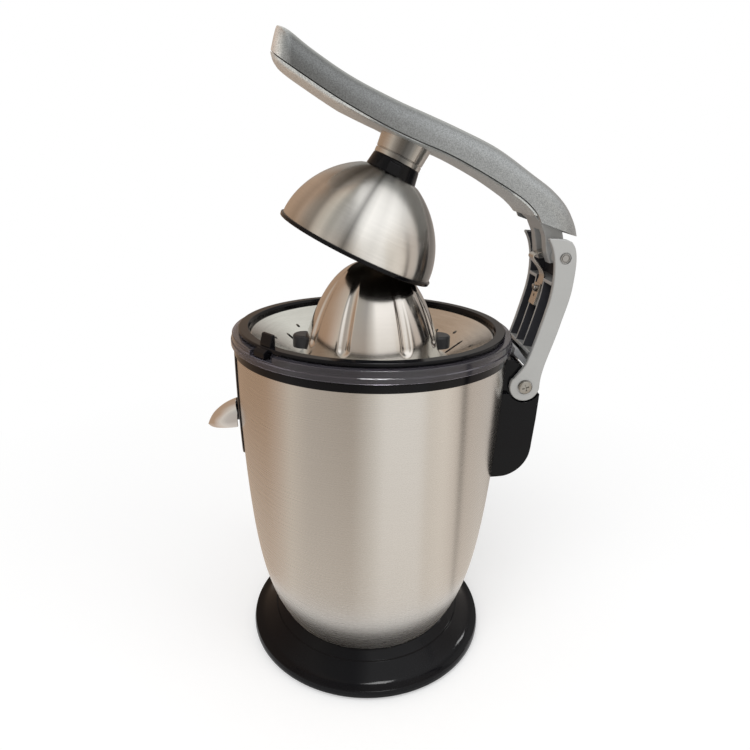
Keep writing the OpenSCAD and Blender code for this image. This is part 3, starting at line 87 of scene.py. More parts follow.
def body_r(z):
    """Radius of the steel body at a height."""
    t = min(1, max(0, (BODY_TOP_Z - z) / (BODY_TOP_Z - BODY_FOOT_Z)))
    return BODY_TOP_R - BODY_BULGE * t**2 - BODY_TUCK * t**8


PLATE_FACE = body_r(DUCT_Z + 8) + PLATE_T
HINGE_Y, HINGE_Z = -PLATE_FACE - 4.2, DUCT_Z + 5.8


# Outlines
def arc(x, y, r, a0, a1, n):
    """Points on an arc from angle a0 to a1, in degrees."""
    angles = [radians(a0 + (a1 - a0) * i / n) for i in range(n + 1)]
    return [(x + r * cos(a), y + r * sin(a)) for a in angles]


def spline(points, steps):
    """A smooth curve through points."""
    out = []
    for i in range(len(points) - 1):
        a, b = points[max(i - 1, 0)], points[i]
        c, d = points[i + 1], points[min(i + 2, len(points) - 1)]
        for k in range(steps):
            t = k / steps
            out.append(tuple(
                0.5 * (2 * q + (r - p) * t + (2 * p - 5 * q + 4 * r - s) * t * t
                       + (3 * q - 3 * r + s - p) * t**3)
                for p, q, r, s in zip(a, b, c, d)))
    return out + [tuple(points[-1])]


def rounded(corners, steps=5):
    """A closed outline of corners (a, b) or (a, b, radius), with the latter rounded."""
    out = []
    for i, corner in enumerate(corners):
        p = Vector(corner[:2])
        if len(corner) < 3:
            out.append(tuple(p))
            continue
        a = Vector(corners[i - 1][:2]) - p
        b = Vector(corners[(i + 1) % len(corners)][:2]) - p
        reach = min(corner[2] / tan(a.angle(b) / 2), 0.48 * a.length, 0.48 * b.length)
        start, end = p + a.normalized() * reach, p + b.normalized() * reach
        for k in range(steps + 1):
            t = k / steps
            out.append(tuple(start * (1 - t)**2 + p * 2 * t * (1 - t) + end * t * t))
    return out


def shifted(dy, dz, *corners):
    """Corners moved by dy and dz."""
    return [(y + dy, z + dz, *radius) for y, z, *radius in corners]


def evenly(points, count):
    """count + 1 points spaced evenly along a line of points."""
    lengths = [0.0]
    for p, q in zip(points, points[1:]):
        lengths.append(lengths[-1] + dist(p, q))
    out, k = [], 0
    for i in range(count + 1):
        want = lengths[-1] * i / count
        while k < len(points) - 2 and lengths[k + 1] < want:
            k += 1
        t = (want - lengths[k]) / max(lengths[k + 1] - lengths[k], 1e-9)
        out.append(tuple(p + (q - p) * min(t, 1) for p, q in zip(points[k], points[k + 1])))
    return out


# Shapes: each is (corners, faces)
def lathe(outline, segments=160, start=0.0, sweep=360.0, closed=True):
    """An outline of (radius, height), or a function of azimuth that gives one, turned about Z."""
    whole = sweep >= 360
    columns = segments if whole else segments + 1
    corners, faces = [], []
    for i in range(columns):
        azimuth = start + sweep * i / segments
        side = outline(azimuth) if callable(outline) else outline
        a = radians(azimuth)
        corners += [(r * cos(a), r * sin(a), z) for r, z in side]
    m = len(side)
    for i in range(segments):
        j = (i + 1) % columns
        for k in range(m if closed else m - 1):
            n = (k + 1) % m
            if side[k][0] > 1e-6 or side[n][0] > 1e-6:
                faces.append((i * m + k, j * m + k, j * m + n, i * m + n))
    if not whole:
        faces += [tuple(range(m)), tuple(range((columns - 1) * m, columns * m))[::-1]]
    return corners, faces


def loft(sections, ring=True):
    """A skin over equal rings of points, closed at both ends."""
    m = len(sections[0])
    corners = [p for s in sections for p in s]
    faces = []
    for i in range(len(sections) - 1):
        for k in range(m):
            n = (k + 1) % m
            faces.append((i * m + k, i * m + n, (i + 1) * m + n, (i + 1) * m + k))
    last = (len(sections) - 1) * m
    if ring:
        faces += [tuple(range(m))[::-1], tuple(range(last, last + m))]
    else:
        for k in range(m // 2 - 1):
            quad = (k, k + 1, m - 2 - k, m - 1 - k)
            faces += [quad[::-1], tuple(last + q for q in quad)]
    return corners, faces


def from_bmesh(bm):
    bmesh.ops.recalc_face_normals(bm, faces=bm.faces)
    bm.verts.index_update()
    shape = [tuple(v.co) for v in bm.verts], [tuple(v.index for v in f.verts) for f in bm.faces]
    bm.free()
    return shape


def bevelled(bm, edges, size, steps):
    """The shape of a mesh with some of its edges rounded."""
    bmesh.ops.bevel(bm, geom=edges, offset=size, segments=steps, profile=0.5, affect="EDGES",
                    clamp_overlap=True)
    return from_bmesh(bm)


def pushed(ring, axis, end):
    """A flat ring of points made solid along an axis, up to end."""
    bm = bmesh.new()
    face = bm.faces.new([bm.verts.new(p) for p in ring])
    for item in bmesh.ops.extrude_face_region(bm, geom=[face])["geom"]:
        if isinstance(item, bmesh.types.BMVert):
            item.co[axis] = end
    bmesh.ops.recalc_face_normals(bm, faces=bm.faces)
    return bm


def prism(outline, x0, x1, bevel=0.0, steps=3):
    """An outline of (y, z) made solid from x0 to x1, its rims rounded by bevel."""
    bm = pushed([(x0, y, z) for y, z in outline], 0, x1)
    if not bevel:
        return from_bmesh(bm)
    rims = [e for e in bm.edges if abs(e.verts[0].co.x - e.verts[1].co.x) < 1e-6]
    return bevelled(bm, rims, bevel, steps)


def block(low, high, bevel):
    """A box with its edges broken by bevel."""
    bm = bmesh.new()
    bmesh.ops.create_cube(bm, size=1)
    for v in bm.verts:
        v.co = Vector([(a + b) / 2 + c * (b - a) for a, b, c in zip(low, high, v.co)])
    return bevelled(bm, list(bm.edges), bevel, 1)


def moved(shape, matrix):
    return [tuple(matrix @ Vector(v)) for v in shape[0]], shape[1]


def joined(*shapes):
    corners, faces = [], []
    for more, more_faces in shapes:
        base = len(corners)
        corners += more
        faces += [tuple(base + i for i in f) for f in more_faces]
    return corners, faces


def turned(azimuth):
    return Matrix.Rotation(radians(azimuth), 4, "Z")


def at(place, angle=0.0, axis="X"):
    """A frame at a place, turned about one axis by degrees."""
    return Matrix.Translation(place) @ Matrix.Rotation(radians(angle), 4, axis)


def drum(r, h, segments=48):
    """A solid cylinder that stands on z = 0."""
    return lathe([(0, 0), (r, 0), (r, h), (0, h)], segments)


def rod(r, x0, x1, y, z):
    """A round bar along X."""
    return moved(lathe([(0, x0), (r, x0), (r, x1), (0, x1)], 64), at((0, y, z), 90, "Y"))


def mirrored(make, first, x0, x1, *more):
    """Two shapes, from -x1 to -x0 and from x0 to x1."""
    return [make(first, -x1, -x0, *more), make(first, x0, x1, *more)]


# Materials
def new_material(name):
    material = bpy.data.materials.new(name)
    material.use_nodes = True
    return material, material.node_tree


def feed(tree, node, sockets):
    """Links each socket of a node to an output, or gives it a value."""
    for key, value in sockets.items():
        if isinstance(value, bpy.types.NodeSocket):
            tree.links.new(value, node.inputs[key])
        else:
            node.inputs[key].default_value = value


def add(tree, kind, sockets, **settings):
    node = tree.nodes.new("ShaderNode" + kind)
    for key, value in settings.items():
        setattr(node, key, value)
    feed(tree, node, sockets)
    return node


def here(tree):
    """The place in the object's own frame, in metres."""
    return add(tree, "TexCoord", {}).outputs["Object"]


def split(tree, vector):
    return add(tree, "SeparateXYZ", {0: vector}).outputs


def combined(tree, x, y, z=0.0):
    return add(tree, "CombineXYZ", {0: x, 1: y, 2: z}).outputs[0]


def length_of(tree, vector):
    return add(tree, "VectorMath", {0: vector}, operation="LENGTH").outputs["Value"]


def azimuth_of(tree, place):
    """0 to 1, from azimuth -180 to 180."""
    return add(tree, "TexGradient", {0: place}, gradient_type="RADIAL").outputs["Fac"]


def calc(tree, operation, one, other):
    return add(tree, "Math", {0: one, 1: other}, operation=operation).outputs[0]


def noise(tree, place, scale, detail, rough=0.5):
    return add(tree, "TexNoise", {"Vector": place, "Scale": scale, "Detail": detail,
                                  "Roughness": rough}).outputs["Fac"]


def spread(tree, value, low, high, start=0.0, end=1.0):
    """value, which goes from start to end, taken to low to high."""
    return add(tree, "MapRange", {"Value": value, "From Min": start, "From Max": end,
                                  "To Min": low, "To Max": high}).outputs["Result"]


def average(tree, one, other, share=0.5):
    return add(tree, "Mix", {0: share, 2: one, 3: other}).outputs[0]


def mixed(tree, share, one, other, blend="MIX"):
    return add(tree, "Mix", {0: share, 6: one, 7: other}, data_type="RGBA",
               blend_type=blend).outputs[2]


def ramp(tree, value, stops, low=0.0, high=1.0):
    """A tone that follows stops of (place, share or colour), with places from low to high."""
    node = add(tree, "ValToRGB", {"Fac": value})
    elements = node.color_ramp.elements
    while len(elements) < len(stops):
        elements.new(0.5)
    for element, (place, tone) in zip(elements, stops):
        color = tone if isinstance(tone, tuple) else (tone,) * 3
        element.position, element.color = (place - low) / (high - low), (*color, 1)
    return node.outputs["Color"]


def tint(tree, value, color, low, high):
    """Tones of a colour, from low to high times its strength."""
    return ramp(tree, value, [(place, tuple(min(1.0, c * share) for c in color))
                              for place, share in ((0.25, low), (0.75, high))])


def surface(tree, tone, rough, relief, more):
    """Sets the shader: tone, roughness, relief of (height, strength, depth) and more."""
    height, strength, depth = relief
    bump = add(tree, "Bump", {"Strength": strength, "Distance": depth * MM, "Height": height})
    feed(tree, tree.nodes["Principled BSDF"],
         {"Base Color": tone, "Roughness": rough, "Normal": bump.outputs["Normal"], **more})


def grained(name, color, rough, metal=0.0, grain=900, vary=0.06, bump=0.02, rough_vary=0.05,
            specular=0.5):
    """Moulded plastic, paint or plain metal: a fine grain over slow changes of tone."""
    material, tree = new_material(name)
    place = here(tree)
    fine, slow = noise(tree, place, grain, 3.0, 0.6), noise(tree, place, 40.0, 4.0, 0.55)
    surface(tree, tint(tree, average(tree, fine, slow), color, 1 - vary, 1 + vary),
            spread(tree, slow, rough - rough_vary, rough + rough_vary), (fine, bump, 0.05),
            {"Metallic": metal, "Specular IOR Level": specular})
    return material


def brushed(name, color, rough, lines, vary, bump, aniso, painted_streaks=None, crown=None):
    """Steel spun about its object's Z axis: fine lines run round the axis.

    The streak stops of (azimuth, share) paint reflection streaks, light and dark, from the axis
    out.
    crown is (low z, high z, stops): more painted reflection, darker at most azimuths, that only
    shows towards the top."""
    material, tree = new_material(name)
    place = here(tree)
    x, y, z = split(tree, place)
    radius = length_of(tree, combined(tree, x, y))
    round_it = [calc(tree, "MULTIPLY", c, 35.0) for c in (x, y)]
    along_it = calc(tree, "MULTIPLY", calc(tree, "SUBTRACT", z, radius), lines)
    hair = noise(tree, combined(tree, *round_it, along_it), 1.0, 5.0, 0.65)
    tone = tint(tree, average(tree, hair, noise(tree, place, 22.0, 3.0), 0.35),
                color, 1 - vary, 1 + vary)
    # Painted reflection streaks: the tone is darkened or lightened by azimuth
    if painted_streaks:
        turn = azimuth_of(tree, place)
        tone = mixed(tree, 1.0, tone, ramp(tree, turn, painted_streaks, -180, 180), "MULTIPLY")
    # Painted reflection near the top: the crown stops darken the tone there
    if crown:
        low, high, stops = crown
        darker = mixed(tree, 1.0, tone, ramp(tree, turn, stops, -180, 180), "MULTIPLY")
        tone = mixed(tree, spread(tree, z, 0.0, 1.0, low * MM, high * MM), tone, darker)
    tangent = add(tree, "Tangent", {}, direction_type="RADIAL", axis="Z").outputs[0]
    surface(tree, tone, spread(tree, hair, rough - 0.05, rough + 0.05), (hair, bump, 0.03),
            {"Metallic": 1.0, "Anisotropic": aniso, "Anisotropic Rotation": 0.25,
             "Tangent": tangent})
    return material


def sparkling(name, color, rough, coat=0.0, painted_light=None):
    """Silver paint with metal flakes in it; its (y, share) stops paint highlight and shade along Y
    onto its tone.
    """
    material, tree = new_material(name)
    place = here(tree)
    flakes = add(tree, "TexVoronoi", {"Vector": place, "Scale": 2700.0}).outputs["Color"]
    grain = noise(tree, place, 2100.0, 3.0, 0.7)
    both = average(tree, flakes, grain)
    tone = tint(tree, both, color, 0.66, 1.36)
    # Painted highlight and shade: the tone is scaled by stops along Y
    if painted_light:
        first, last = painted_light[0][0], painted_light[-1][0]
        reach = spread(tree, split(tree, place)[1], 0.0, 1.0, first * MM, last * MM)
        tone = mixed(tree, 1.0, tone, ramp(tree, reach, painted_light, first, last), "MULTIPLY")
    surface(tree, tone, spread(tree, grain, rough - 0.1, rough + 0.1), (both, 0.3, 0.04),
            {"Metallic": 0.75, "Coat Weight": coat, "Coat Roughness": 0.25})
    return material


def clear(name, color, rough):
    """Smoked clear plastic."""
    material, tree = new_material(name)
    slow = noise(tree, here(tree), 60.0, 3.0)
    feed(tree, tree.nodes["Principled BSDF"], {
        "Base Color": tint(tree, slow, color, 0.9, 1.1),
        "Roughness": spread(tree, slow, rough, rough + 0.06),
        "Transmission Weight": 0.85, "IOR": 1.49})
    return material


# Name, colour, roughness, metal, grain, spread of tone, relief, spread of roughness, specular
MATERIALS = {row[0]: grained(*row) for row in (
    ("black_plastic", (0.004, 0.004, 0.005), 0.10, 0.0, 700, 0.15, 0.01, 0.03, 0.15),
    ("black_matte", (0.022, 0.022, 0.025), 0.42, 0.0, 1600, 0.15, 0.25),
    ("rubber", (0.015, 0.015, 0.016), 0.7, 0.0, 1200, 0.2, 0.3),
    ("black_rubber", (0.02, 0.02, 0.022), 0.6, 0.0, 1200, 0.2, 0.2),
    ("seal_rubber", (0.5, 0.5, 0.48), 0.55),
    ("steel", (0.5, 0.49, 0.48), 0.28, 1.0, 1400, 0.06, 0.1),
    ("grey_plastic", (0.6, 0.61, 0.62), 0.35, 0.0, 1300),
    ("chrome", (0.78, 0.79, 0.81), 0.06, 1.0, 500, 0.02, 0.0, 0.02),
    ("gear_plastic", (0.72, 0.69, 0.6), 0.4, 0.0, 900, 0.06, 0.1),
    ("bronze", (0.5, 0.33, 0.14), 0.4, 1.0, 2200, 0.06, 0.3),
    ("brass", (0.6, 0.45, 0.18), 0.3, 1.0, 1200, 0.06, 0.1),
    ("aluminium", (0.55, 0.56, 0.57), 0.45, 1.0, 1500, 0.06, 0.4),
    ("zinc_steel", (0.4, 0.41, 0.42), 0.35, 1.0, 120, 0.18, 0.05),
    ("core_steel", (0.2, 0.2, 0.21), 0.5, 0.6, 1800, 0.06, 0.4),
    ("blue_plastic", (0.04, 0.1, 0.25), 0.35),
    ("silver_paint", (0.46, 0.465, 0.46), 0.4, 0.35, 2200, 0.05, 0.12),
    ("spring_steel", (0.58, 0.545, 0.5), 0.26, 1.0, 1400))}
MATERIALS.update(
    brushed_steel=brushed("brushed_steel", (0.63, 0.61, 0.585), 0.27, lines=2100, vary=0.035,
                          bump=0.04, aniso=0.85),
    smoked_plastic=clear("smoked_plastic", (0.17, 0.158, 0.185), 0.03),
    silver_sparkle=sparkling("silver_sparkle", (0.5, 0.505, 0.51), 0.42))
SLOT_OF = {p["node"]: p["material_slot"] for p in frame["record"]["subparts"]}
BODY_OF = {n: b for b, names in frame["record"]["behaviour"]["bodies"].items() for n in names}
for node, thing in frame["nodes"].items():
    for place in thing.material_slots:
        place.material = MATERIALS[SLOT_OF[node]]


# Pieces
def placed(name, data):
    thing = bpy.data.objects.new(name, data)
    scene.collection.objects.link(thing)
    return thing


def object_of(name, shape, matrix=Matrix.Identity(4), sharp=32.0):
    """A smooth object of a shape in millimetres, with its own frame at matrix."""
    mesh = bpy.data.meshes.new(name)
    mesh.from_pydata([Vector(v) * MM for v in shape[0]], [], shape[1])
    bm = bmesh.new()
    bm.from_mesh(mesh)
    bmesh.ops.remove_doubles(bm, verts=bm.verts, dist=1e-7)
    bmesh.ops.recalc_face_normals(bm, faces=bm.faces)
    bm.to_mesh(mesh)
    bm.free()
    smooth_mesh(mesh, sharp)
    thing = placed(name, mesh)
    place = matrix.copy()
    place.translation = matrix.translation * MM
    thing.matrix_world = place
    return thing


def smooth_mesh(mesh, sharp):
    mesh.polygons.foreach_set("use_smooth", [True] * len(mesh.polygons))
    mesh.set_sharp_from_angle(angle=radians(sharp))
    mesh.update()


def cut(thing, shape, operation="DIFFERENCE", sharp=32.0, matrix=Matrix.Identity(4)):
    """Cuts a shape out of an object, or keeps what both hold."""
    tool = object_of("tool", shape, matrix)
    step = thing.modifiers.new("cut", "BOOLEAN")
    step.object, step.operation, step.solver = tool, operation, "EXACT"
    bpy.context.view_layer.update()
    made = bpy.data.meshes.new_from_object(
        thing.evaluated_get(bpy.context.evaluated_depsgraph_get()))
    thing.modifiers.remove(step)
    thing.data = made
    bpy.data.objects.remove(tool)
    smooth_mesh(made, sharp)
    return thing


def merge(thing, other, sharp=32.0):
    """Adds another object's mesh to an object's own, in the world's frame."""
    both = bmesh.new()
    for one in (thing, other):
        one.data.transform(one.matrix_world)
        both.from_mesh(one.data)
    both.to_mesh(thing.data)
    both.free()
    thing.matrix_world = Matrix.Identity(4)
    bpy.data.objects.remove(other)
    smooth_mesh(thing.data, sharp)


def finish_piece(thing, node, weighted=True, material=None):
    """The object stands for a CAD node: it rides on that node's body and takes its finish."""
    thing.data.materials.clear()
    thing.data.materials.append(material or MATERIALS[SLOT_OF[node]])
    if weighted:
        weigh = thing.modifiers.new("weigh", "WEIGHTED_NORMAL")
        weigh.keep_sharp = True
    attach(thing, BODY_OF[node])
    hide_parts(node)
    return thing


# Base and body
FOOT_R = body_r(BODY_FOOT_Z)
base_curve = spline([
    (BASE_R - BASE_DRAW - 1.2, BASE_EDGE_Z + 0.1),
    ((BASE_R + BASE_RING_R) / 2 + 1, BASE_EDGE_Z + 1.6),
    (BASE_RING_R + 0.8, BASE_RING_Z - 0.7)], 8)
base = object_of("base", lathe(rounded([
    (BASE_R - BASE_WALL, FOOT_H, 0.3), (BASE_R, FOOT_H, 0.6), (BASE_R, BASE_EDGE_Z - 2.2, 1.6),
    (BASE_R - BASE_DRAW, BASE_EDGE_Z, 0.7), *base_curve,
    (BASE_RING_R, BASE_RING_Z, 0.5), (BASE_RING_R - 1.0, BASE_RING_Z, 0.5),
    *shifted(FOOT_R, BODY_FOOT_Z, (1.4, -0.6, 0.8), (0.5, 0, 0.4), (-9, 0), (-9, -BASE_WALL),
             (0, -BASE_WALL - 0.3)),
    (BASE_RING_R - 1.5, BASE_RING_Z - BASE_WALL - 0.7),
    ((BASE_R + BASE_RING_R) / 2, BASE_EDGE_Z + 1.4 - BASE_WALL),
    (BASE_R - BASE_WALL - 0.4, BASE_EDGE_Z - BASE_WALL)]), 200))
CORD_X, CORD_Z, GLAND_R = -BASE_R + 9.4, FOOT_H + 5.4, 3.0
cut(base, drum(GLAND_R + 0.02, 14), matrix=at((CORD_X, 0, CORD_Z), -90, "Y"))
finish_piece(base, "base_ring")

body_rows = [BODY_FOOT_Z + (BODY_TOP_Z - BODY_FOOT_Z) * i / 72 for i in range(73)]
body = object_of("body", lathe(
    [(body_r(z), z) for z in body_rows] + [(body_r(z) - STEEL_T, z) for z in reversed(body_rows)],
    240))
at_duct = at((0, -60, DUCT_Z), 90)
cut(body, drum(DUCT_R + GAP, 40), matrix=at_duct)
finish_piece(body, "body_shell", weighted=False)

LINER_OUT = LINER_R + LINER_WALL
liner = object_of("liner", lathe(rounded([
    (TUBE_R - 3, LINER_FLOOR_Z - 2), (LINER_OUT, LINER_FLOOR_Z - 2),
    (LINER_OUT, BODY_TOP_Z - 6), (BODY_TOP_R - 1.3, BODY_TOP_Z - 6),
    (BODY_TOP_R - STEEL_T - 0.1, BODY_TOP_Z), (BODY_TOP_R + 1.1, BODY_TOP_Z, 0.35),
    *shifted(BODY_TOP_R, BAND_TOP_Z, (1.3, -0.3, 0.5), (0.9, 0, 0.3)),
    (LINER_R, BAND_TOP_Z, 0.3), (LINER_R, LINER_FLOOR_Z, 1.0),
    (TUBE_R - 1, LINER_FLOOR_Z, 1.0), (TUBE_R - 1, TUBE_TOP_Z - 20, 0.4),
    (TUBE_R - 3, TUBE_TOP_Z - 20, 0.4)]), 200))
cut(liner, drum(DUCT_R, 40), matrix=at_duct)
finish_piece(liner, "inner_liner")

# Bowl, splash ring and strainer
OUT_R, MID_Z = BOWL_R + BOWL_WALL, BOWL_FLOOR_Z + BOWL_RISE
SKIRT_Z, RIM_STEP = BAND_TOP_Z + GAP, 3.6
NOTCH_R = SPLASH_R - 1.6
bowl = object_of("bowl", lathe(rounded([
    (BOWL_R, RIM_Z, 0.5), (RIM_R, RIM_Z, 0.7),
    *shifted(RIM_R, RIM_Z - RIM_STEP, (0.15, 0.1, 0.15), (0.8, -0.3, 0.35)),
    (RIM_R + 0.8, SKIRT_Z, 0.4),
    (RIM_R - 1.2, SKIRT_Z, 0.4), (RIM_R - 1.2, RIM_Z - 4, 0.5), (OUT_R, RIM_Z - 4, 0.5),
    (OUT_R, BOWL_FLOOR_Z + 3, 3.0), (OUT_R - 1.8, BOWL_FLOOR_Z - BOWL_WALL, 1.6),
    (TUBE_R, MID_Z - BOWL_WALL, 0.6), (TUBE_R, TUBE_TOP_Z, 0.3), (TUBE_R + 2, TUBE_TOP_Z, 0.3),
    (TUBE_R + 2, MID_Z, 2.0), (BOWL_R - 1.4, BOWL_FLOOR_Z, 2.0),
    (BOWL_R, BOWL_FLOOR_Z + 3.2, 2.0)]), 200))
cut(bowl, drum(DRAIN_R, 12), matrix=at((0, -DRAIN_Y, BOWL_FLOOR_Z - 6)))
cut(bowl, lathe([(NOTCH_R, RIM_Z - 3), (NOTCH_R + 8, RIM_Z - 3), (NOTCH_R + 8, RIM_Z + 6),
                 (NOTCH_R, RIM_Z + 6)], 12, TAB_AZIMUTH - 5, 13))
finish_piece(bowl, "juice_bowl")

SKIRT_R, LOW_Z = SPLASH_IN_R - SPLASH_WALL, SPLASH_Z - SPLASH_SKIRT
TAB_HALF = 4.4
tab_seat = RIM_Z + GAP - SPLASH_Z
tab_side = shifted(SPLASH_IN_R, SPLASH_Z, (0.6, tab_seat), (0.6, TAB_H - 0.5, 0.6),
                   (1.2, TAB_H, 0.4), (2.6, TAB_H - 0.3, 0.6), (4.0, 1.2, 0.8), (4.0, tab_seat))
foot_side = shifted(NOTCH_R + GAP, RIM_Z, (0, -2.4), (0, 2.0), (2.1, 2.0, 0.5), (4.2, 0.4, 0.5),
                    (4.2, -2.4, 0.3))
quarter = turned(TAB_AZIMUTH - 90)
splash = object_of("splash", joined(
    lathe(rounded([
        (SKIRT_R, LOW_Z, 0.4), (SPLASH_IN_R, LOW_Z, 0.4), (SPLASH_IN_R, RIM_Z + GAP),
        (SPLASH_R, RIM_Z + GAP, 0.6), (SPLASH_R, SPLASH_Z, 0.8),
        (SPLASH_IN_R - 0.2, SPLASH_Z, 0.6), (SKIRT_R + 0.3, SPLASH_Z - 1.6, 0.8)]), 200),
    moved(prism(rounded(tab_side), -TAB_HALF, TAB_HALF, 0.5), quarter),
    moved(prism(rounded(foot_side), -TAB_HALF, TAB_HALF, 0.4), quarter)))
finish_piece(splash, "splash_ring")

DISH_EDGE_Z = RIM_Z - 2
strainer = object_of("strainer", lathe(rounded([
    (DISH_HOLE_R, DISH_FLAT_Z - STEEL_T - 0.4, 0.2), (DISH_FLAT_R, DISH_FLAT_Z - STEEL_T, 6.0),
    (SKIRT_R, DISH_EDGE_Z - STEEL_T, 0.5), (SKIRT_R, DISH_EDGE_Z + 0.6, 0.2),
    (SKIRT_R - 0.8, DISH_EDGE_Z + 0.6, 0.4), (DISH_FLAT_R, DISH_FLAT_Z, 6.0),
    (DISH_HOLE_R, DISH_FLAT_Z - 0.4, 0.2)], 8), 240))


def slot_hole(r0, r1, azimuth):
    """A long hole with round ends, from radius r0 to r1."""
    half = SLOT_W / 2
    line = arc(r1 - half, 0, half, -90, 90, 10) + arc(r0 + half, 0, half, 90, 270, 10)
    return loft([[tuple(turned(azimuth) @ Vector((x, y, z))) for x, y in line]
                 for z in (DISH_FLAT_Z - 6, RIM_Z + 1)])


cut(strainer, joined(*[
    slot_hole(DISH_FLAT_R + r0, DISH_FLAT_R + r1, 30 * i + first)
    for r0, r1, first in ((1, 12, 7.5), (12.5, 15.1, 22.5)) for i in range(12)]))
finish_piece(strainer, "strainer_dish", material=brushed(
    "spun_dish", (0.66, 0.65, 0.62), 0.24, lines=2200, vary=0.14, bump=0.08, aniso=0.8))


# Reamer
def bell_r(r, u):
    """Radius of the reamer at a share of its height."""
    return r * max(1 - u**1.25, 0)**0.42


def flute_depth(u):
    """How deep a flute is pressed in at a share of the reamer's height."""
    if u > 0.9:
        return -0.5
    t = (u - 0.2) / 0.7
    return FLUTE_DEPTH * (1 - t * t) if t > 0 else FLUTE_DEPTH


def reamer_point(u, azimuth):
    """(radius, height) of the reamer's outside; its flutes fade towards the top."""
    r, z = bell_r(REAMER_R, u), REAMER_Z + REAMER_H * u
    low, high = max(u - 0.01, 0), min(u + 0.01, 1)
    normal = Vector((REAMER_H * high - REAMER_H * low,
                     bell_r(REAMER_R, low) - bell_r(REAMER_R, high))).normalized()
    sink = 0.0
    for q in range(4):
        for side in (-1, 1):
            centre = (q + 0.5) * 90 + side * FLUTE_PAIR_ANGLE / 2
            away = (azimuth - centre + 180) % 360 - 180
            s = r * radians(away)
            end = max(0.0, 0.2 - u) * REAMER_H
            room = FLUTE_R**2 - s * s - end * end
            if room > 0:
                cut_in = sqrt(room) - (FLUTE_R - flute_depth(u))
                sink += 0.5 * (cut_in + sqrt(cut_in**2 + 0.02)) if cut_in > -0.6 else 0
    return max(r - normal.x * sink, 0), z - normal.y * sink


ROWS = 120
reamer_inside = [(bell_r(REAMER_R - REAMER_WALL, u), REAMER_Z + (REAMER_H - REAMER_WALL) * u)
                 for u in [1 - (i / 30)**1.6 for i in range(31)]]


def reamer_side(azimuth):
    """The plain inside, a rolled lip and the fluted outside at an azimuth."""
    outside = [reamer_point(1 - 0.996 * (1 - i / ROWS)**2.2, azimuth) for i in range(ROWS)]
    return reamer_inside + [(REAMER_R - 0.9, REAMER_Z), *outside, (0, REAMER_Z + REAMER_H)]


reamer = object_of("reamer", lathe(reamer_side, 360), sharp=60)
finish_piece(reamer, "reamer_cone", weighted=False, material=brushed(
    "spun_reamer", (0.66, 0.63, 0.60), 0.15, lines=2600, vary=0.05, bump=0.03, aniso=0.6))

wiper_z, wiper_half = REAMER_Z - 0.6, WIPER_W / 2
WIPER_EDGE = 3.4
wiper_line = ([(-wiper_half, 38.7), (wiper_half, 38.7)]
              + arc(0, WIPER_REACH - wiper_half, wiper_half, 0, 180, 24))


def wiper(side):
    """A paddle with a round top that stands out of the reamer's foot."""
    top = wiper_z + WIPER_H
    bm = pushed([(x, side * y, wiper_z + WIPER_EDGE) for x, y in wiper_line], 2, top)
    rims = [e for e in bm.edges if min(v.co.z for v in e.verts) > top - 1]
    return bevelled(bm, rims, WIPER_EDGE, 8)


hold_r = bell_r(REAMER_R - REAMER_WALL, 0.06)
wipers = object_of("wipers", joined(
    wiper(1), wiper(-1),
    lathe(rounded([(hold_r - 6, wiper_z, 0.3), (hold_r - 0.4, wiper_z, 0.3),
                   (hold_r - 0.4, wiper_z + 3.6, 0.3), (hold_r - 6, wiper_z + 3.6, 0.3)]), 120)))
finish_piece(wipers, "pulp_wipers")

# Lever bracket
bracket_edge = spline([(-25.4, 0), (-16.7, 0.8), (-11.2, 3.1), (-6.6, 7), (-3.4, 12),
                       (-1.8, 17.5), (-1.2, 26), (-0.4, 40)], 6)
SADDLE_R, SADDLE_DROP = EYE_R + 0.9, 4.6
bracket_outline = (
    [(66, BRACKET_FOOT_Z), *shifted(BRACKET_Y, BRACKET_FOOT_Z, *bracket_edge),
     (BRACKET_Y, PIVOT_Z - SADDLE_DROP)]
    + arc(PIVOT_Y, PIVOT_Z, SADDLE_R, degrees(atan2(-SADDLE_DROP, BRACKET_Y - PIVOT_Y - 0.6)),
          -180 + degrees(asin(SADDLE_DROP / SADDLE_R)), 24)
    + [(66, PIVOT_Z - SADDLE_DROP)])
tongue_outline = rounded([
    (66, PIVOT_Z - 12), (PIVOT_Y + EYE_R - 0.6, PIVOT_Z - 12),
    *arc(PIVOT_Y, PIVOT_Z, EYE_R - 1.4, 0, 62, 10), (PIVOT_Y + 2.2, PIVOT_Z + 8.8, 0.6),
    (PIVOT_Y - 7, PIVOT_Z + 15.4, 1.0), (66, PIVOT_Z + 15.4)])
bracket = object_of("bracket", prism(bracket_outline, -LEVER_W / 2, LEVER_W / 2, 1.1, 4))
tongue = object_of("tongue", prism(tongue_outline, -CHEEK_IN + GAP, CHEEK_IN - GAP, 0.6))
body_tool = lathe(
    [(0, 60), *[(body_r(z) + 0.05, z) for z in range(60, 197, 3)],
     (BODY_TOP_R + 2.2, BODY_TOP_Z - 1), (RIM_R + 2.2, BAND_TOP_Z - 2), (RIM_R + 2.2, 230),
     (0, 230)], 240)
merge(cut(bracket, body_tool), cut(tongue, body_tool))
finish_piece(bracket, "hinge_bracket")

finish_piece(object_of("arm_rest", prism(rounded(shifted(
    PIVOT_Y, PIVOT_Z, (-4.2, 15.7, 0.4), (-3.4, 19, 0.6), (-2, 19.4, 0.6), (5.4, 10.4, 0.6),
    (4.4, 8.2, 0.4), (2.6, 9, 0.3))), -9, 9, 0.5)), "arm_stop")


